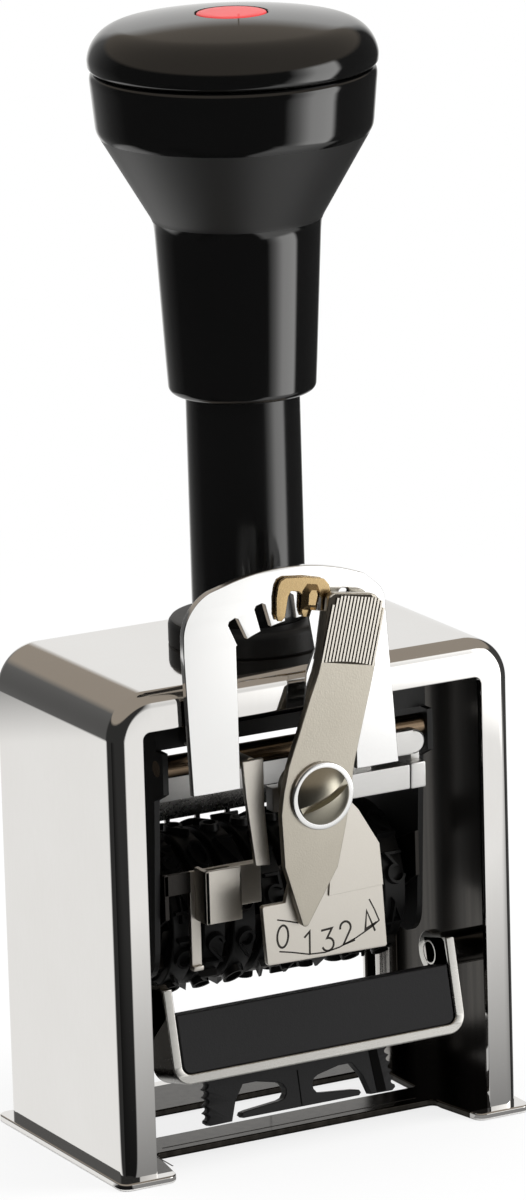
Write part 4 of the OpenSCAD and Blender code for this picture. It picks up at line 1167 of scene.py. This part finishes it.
cadFinishes = {
    "guide_rods": "turnedSteel", "stirrup_pins": "turnedSteel", "plunger_rod": "turnedSteel",
    "wheel_shaft": "turnedSteel", "arch_posts": "turnedSteel", "carriage_bridge": "castBlack",
    "side_plate_left": "castBlack", "side_plate_right": "castBlack", "rear_bar": "barAluminium",
    "cross_shaft": "crossBronze", "pivot_boss": "screwNickel", "detent_springs": "springSteel",
    "feed_pawl": "springSteel",
}
for nodeName, finishName in cadFinishes.items():
    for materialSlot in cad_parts[nodeName].material_slots:
        materialSlot.material = finishes[finishName]
print("plain pieces finished:", len(cadFinishes))

# studio: floor, lights, dark cards seen only in reflections, camera

studio = {
    "floorTone": (0.90, 0.92), "floorFade": (0.16, 0.34), "floorShare": 0.80, "fillLight": 0.62, "keyPower": 7.0,
    "topPower": 5.0, "tentRadius": 1.6, "tentFloor": 0.0003, "tentWall": 0.3, "viewTurn": 28.03,
    "middle": (-0.030, -0.0154, 0.0), "rightCorner": (0.030, -0.0154, 0.0),
    # light by degrees to the viewer's right: far off round the handle, on the near floor round the left corner,
    # and the dark flag beside the right corner
    "around": ((-180, 0.90), (-167, 0.90), (-156, 0.28), (-128, 0.12), (-104, 0.03), (46, 0.03), (58, 1.0),
               (70, 2.5), (90, 2.7), (95, 0.06), (158, 0.05), (168, 0.85), (180, 0.90)),
    "nearby": ((-180, 0.90), (-117, 0.90), (-101, 0.03), (38, 0.03), (48, 0.92), (180, 0.92)),
    "beside": ((-180, 1.0), (100, 1.0), (107, 0.06), (152, 0.06), (166, 1.0), (180, 1.0)),
    "farFrom": 0.225, "farTo": 0.275, "nearFrom": 0.0, "nearTo": 0.11, "nearShade": 0.74,
    "underHalf": 0.031, "underBack": 0.0206, "underShade": 0.5,
    "ceilingFrom": 21.5, "ceilingTo": 27.0, "ceilingTint": (0.32, 0.28, 0.235),
}


def makeStudio():
    s = studio
    scene = bpy.context.scene
    scene.view_settings.view_transform = "Standard"
    floorMesh = bpy.data.meshes.new("floor")
    floorMesh.from_pydata([(-6, -6, 0), (6, -6, 0), (6, 6, 0), (-6, 6, 0)], [], [(0, 1, 2, 3)])
    floor = bpy.data.objects.new("floor", floorMesh)
    scene.collection.objects.link(floor)
    material, flow = newMaterial("floorPaper")
    low, high = s["floorTone"]
    tone = noise(flow, 3.0, 2.0).blend(colour(low, low, low), colour(high, high, high))
    paper = flow.node("ShaderNodeBsdfPrincipled", {}, {
        "Base Color": tone, "Roughness": 0.9, "Specular IOR Level": 0.1})
    white = flow.node("ShaderNodeEmission", {}, {"Color": colour(1, 1, 1), "Strength": 1.0})
    away = flow.node("ShaderNodeVectorMath", {"operation": "LENGTH"}, {0: flow.where()}, out=1)
    fade = away.rise(*s["floorFade"])
    fade = fade * fade * (3.0 - 2.0 * fade)
    path = flow.node("ShaderNodeLightPath")
    seen = Flow(flow.tree, path.socket.node.outputs["Is Camera Ray"])
    lit = fade * (1.0 - s["floorShare"]) + s["floorShare"]
    flow.node("ShaderNodeMixShader", {}, {0: seen * lit, 1: paper, 2: white}).close()
    floorMesh.materials.append(material)

    world = bpy.data.worlds.new("studio")
    scene.world = world
    world.use_nodes = True
    tree = world.node_tree
    tree.nodes.clear()
    flow = Flow(tree)
    path = flow.node("ShaderNodeLightPath")
    shown = [Flow(tree, path.socket.node.outputs[key])
             for key in ("Is Camera Ray", "Is Glossy Ray", "Is Transmission Ray")]
    share = (shown[0] + shown[1] + shown[2]).held()
    strength = s["fillLight"] + share * (1.0 - s["fillLight"])
    back = flow.node("ShaderNodeBackground", {}, {"Color": colour(1, 1, 1), "Strength": strength})
    back.close("ShaderNodeOutputWorld")

    def area(name, spot, aim, width, height, power):
        data = bpy.data.lights.new(name, "AREA")
        data.shape = "RECTANGLE"
        data.size, data.size_y = width, height
        data.energy = power
        lamp = bpy.data.objects.new(name, data)
        lamp.location = spot
        lamp.rotation_euler = (Vector(aim) - Vector(spot)).to_track_quat("-Z", "Y").to_euler()
        lamp.visible_glossy = False
        scene.collection.objects.link(lamp)
    area("keyBox", (0.75, -0.35, 0.75), (0, 0, 0.08), 0.4, 0.9, s["keyPower"])
    area("topBox", (-0.1, 0.1, 1.1), (0, 0, 0.05), 0.9, 0.9, s["topPower"])
    makeTent()


def makeTent():
    # white cards, black flags and a tall soft box round the object, seen only in its reflections
    s = studio
    r = s["tentRadius"]
    low, wall = s["tentFloor"], s["tentWall"]
    profile = [(nearAxis / 10, low), (0.12, low), (0.5, low), (r, low), (r, wall)]
    profile += [(r * cosDeg(a), wall + r * sinDeg(a)) for a in (12, 25, 38, 52, 66, 80)]
    profile += [(nearAxis / 10, wall + r)]
    tent = lathe("tent", profile, where=lambda x, y, h: Vector((x, y, h)))
    material, flow = newMaterial("tentCards")
    where = flow.where()
    turn = (0, 0, math.radians(s["viewTurn"]))

    def seenFrom(middle):
        # the viewer is at -y after the turn; angles grow to the viewer's right
        away = flow.node("ShaderNodeVectorMath", {"operation": "SUBTRACT"}, {0: where, 1: middle})
        away = flow.node("ShaderNodeMapping", {"vector_type": "POINT"}, {0: away, 2: turn})
        x, y, z = flow.parts(away)
        flat = (x * x + y * y).power(0.5)
        return x.maths("ARCTAN2", y * -1.0) * (0.5 / math.pi) + 0.5, flat, z

    def pattern(stops, share):
        brightest = max(light for _, light in stops)
        steps = [((degrees + 180) / 360, (light / brightest,) * 3) for degrees, light in stops]
        ramp = flow.node("ShaderNodeValToRGB", {"stops": steps}, {0: share})
        return flow.node("ShaderNodeRGBToBW", {}, {0: ramp}) * brightest

    share, flat, z = seenFrom(s["middle"])
    far = flat.rise(s["farFrom"], s["farTo"])
    beside = pattern(s["beside"], seenFrom(s["rightCorner"])[0])
    # the floor darkens towards the front of the housing
    x, y = flow.parts(where)[:2]
    ahead = y * -1.0 + s["middle"][1]
    near = (1.0 - ahead.rise(s["nearFrom"], s["nearTo"])) * ahead.over(-0.001)
    close = pattern(s["nearby"], share) * beside * (1.0 - near * s["nearShade"])
    # an even grey under the base plate
    under = x.absolute().below(s["underHalf"]) * ahead.below(0.0) * y.below(s["underBack"])
    close = close * (1.0 - under) + under * s["underShade"]
    ring = pattern(s["around"], share) * far + close * (1.0 - far)
    height = z.maths("ARCTAN2", flat) * (180 / math.pi)
    grey = flow.node("ShaderNodeCombineColor", {}, {0: ring, 1: ring * 0.995, 2: ring * 0.98})
    light = height.rise(s["ceilingFrom"], s["ceilingTo"]).blend(grey, colour(*s["ceilingTint"]))
    flow.node("ShaderNodeEmission", {}, {"Color": light, "Strength": 1.0}).close()
    material.cycles.emission_sampling = "NONE"
    tent.data.materials.append(material)
    for ray in ("camera", "diffuse", "transmission", "volume_scatter", "shadow"):
        setattr(tent, "visible_" + ray, False)


view = {"azimuth": 28.03, "distance": 986.1, "height": 323.4, "aimX": 2.15, "aimZ": 70.9, "roll": -1.67,
        "focal": 229.0}


def makeCamera():
    s = view
    azimuth = math.radians(s["azimuth"])
    aim = place(s["aimX"], 0.0, s["aimZ"])
    spot = place(-s["distance"] * math.sin(azimuth), -s["distance"] * math.cos(azimuth), s["height"])
    ahead = (aim - spot).normalized()
    right = ahead.cross(Vector((0, 0, 1))).normalized()
    up = right.cross(ahead)
    roll = math.radians(s["roll"])
    turnedRight = right * math.cos(roll) + up * math.sin(roll)
    turnedUp = up * math.cos(roll) - right * math.sin(roll)
    data = bpy.data.cameras.new("photoCamera")
    data.sensor_fit = "VERTICAL"
    data.sensor_height = 36.0
    data.sensor_width = 36.0
    data.lens = s["focal"]
    data.clip_start, data.clip_end = 0.05, 20.0
    camera = bpy.data.objects.new("photoCamera", data)
    turn = Matrix((turnedRight, turnedUp, -ahead)).transposed().to_4x4()
    camera.matrix_world = Matrix.Translation(spot) @ turn
    bpy.context.scene.collection.objects.link(camera)
    bpy.context.scene.camera = camera


makeStudio()
makeCamera()
print("studio done")
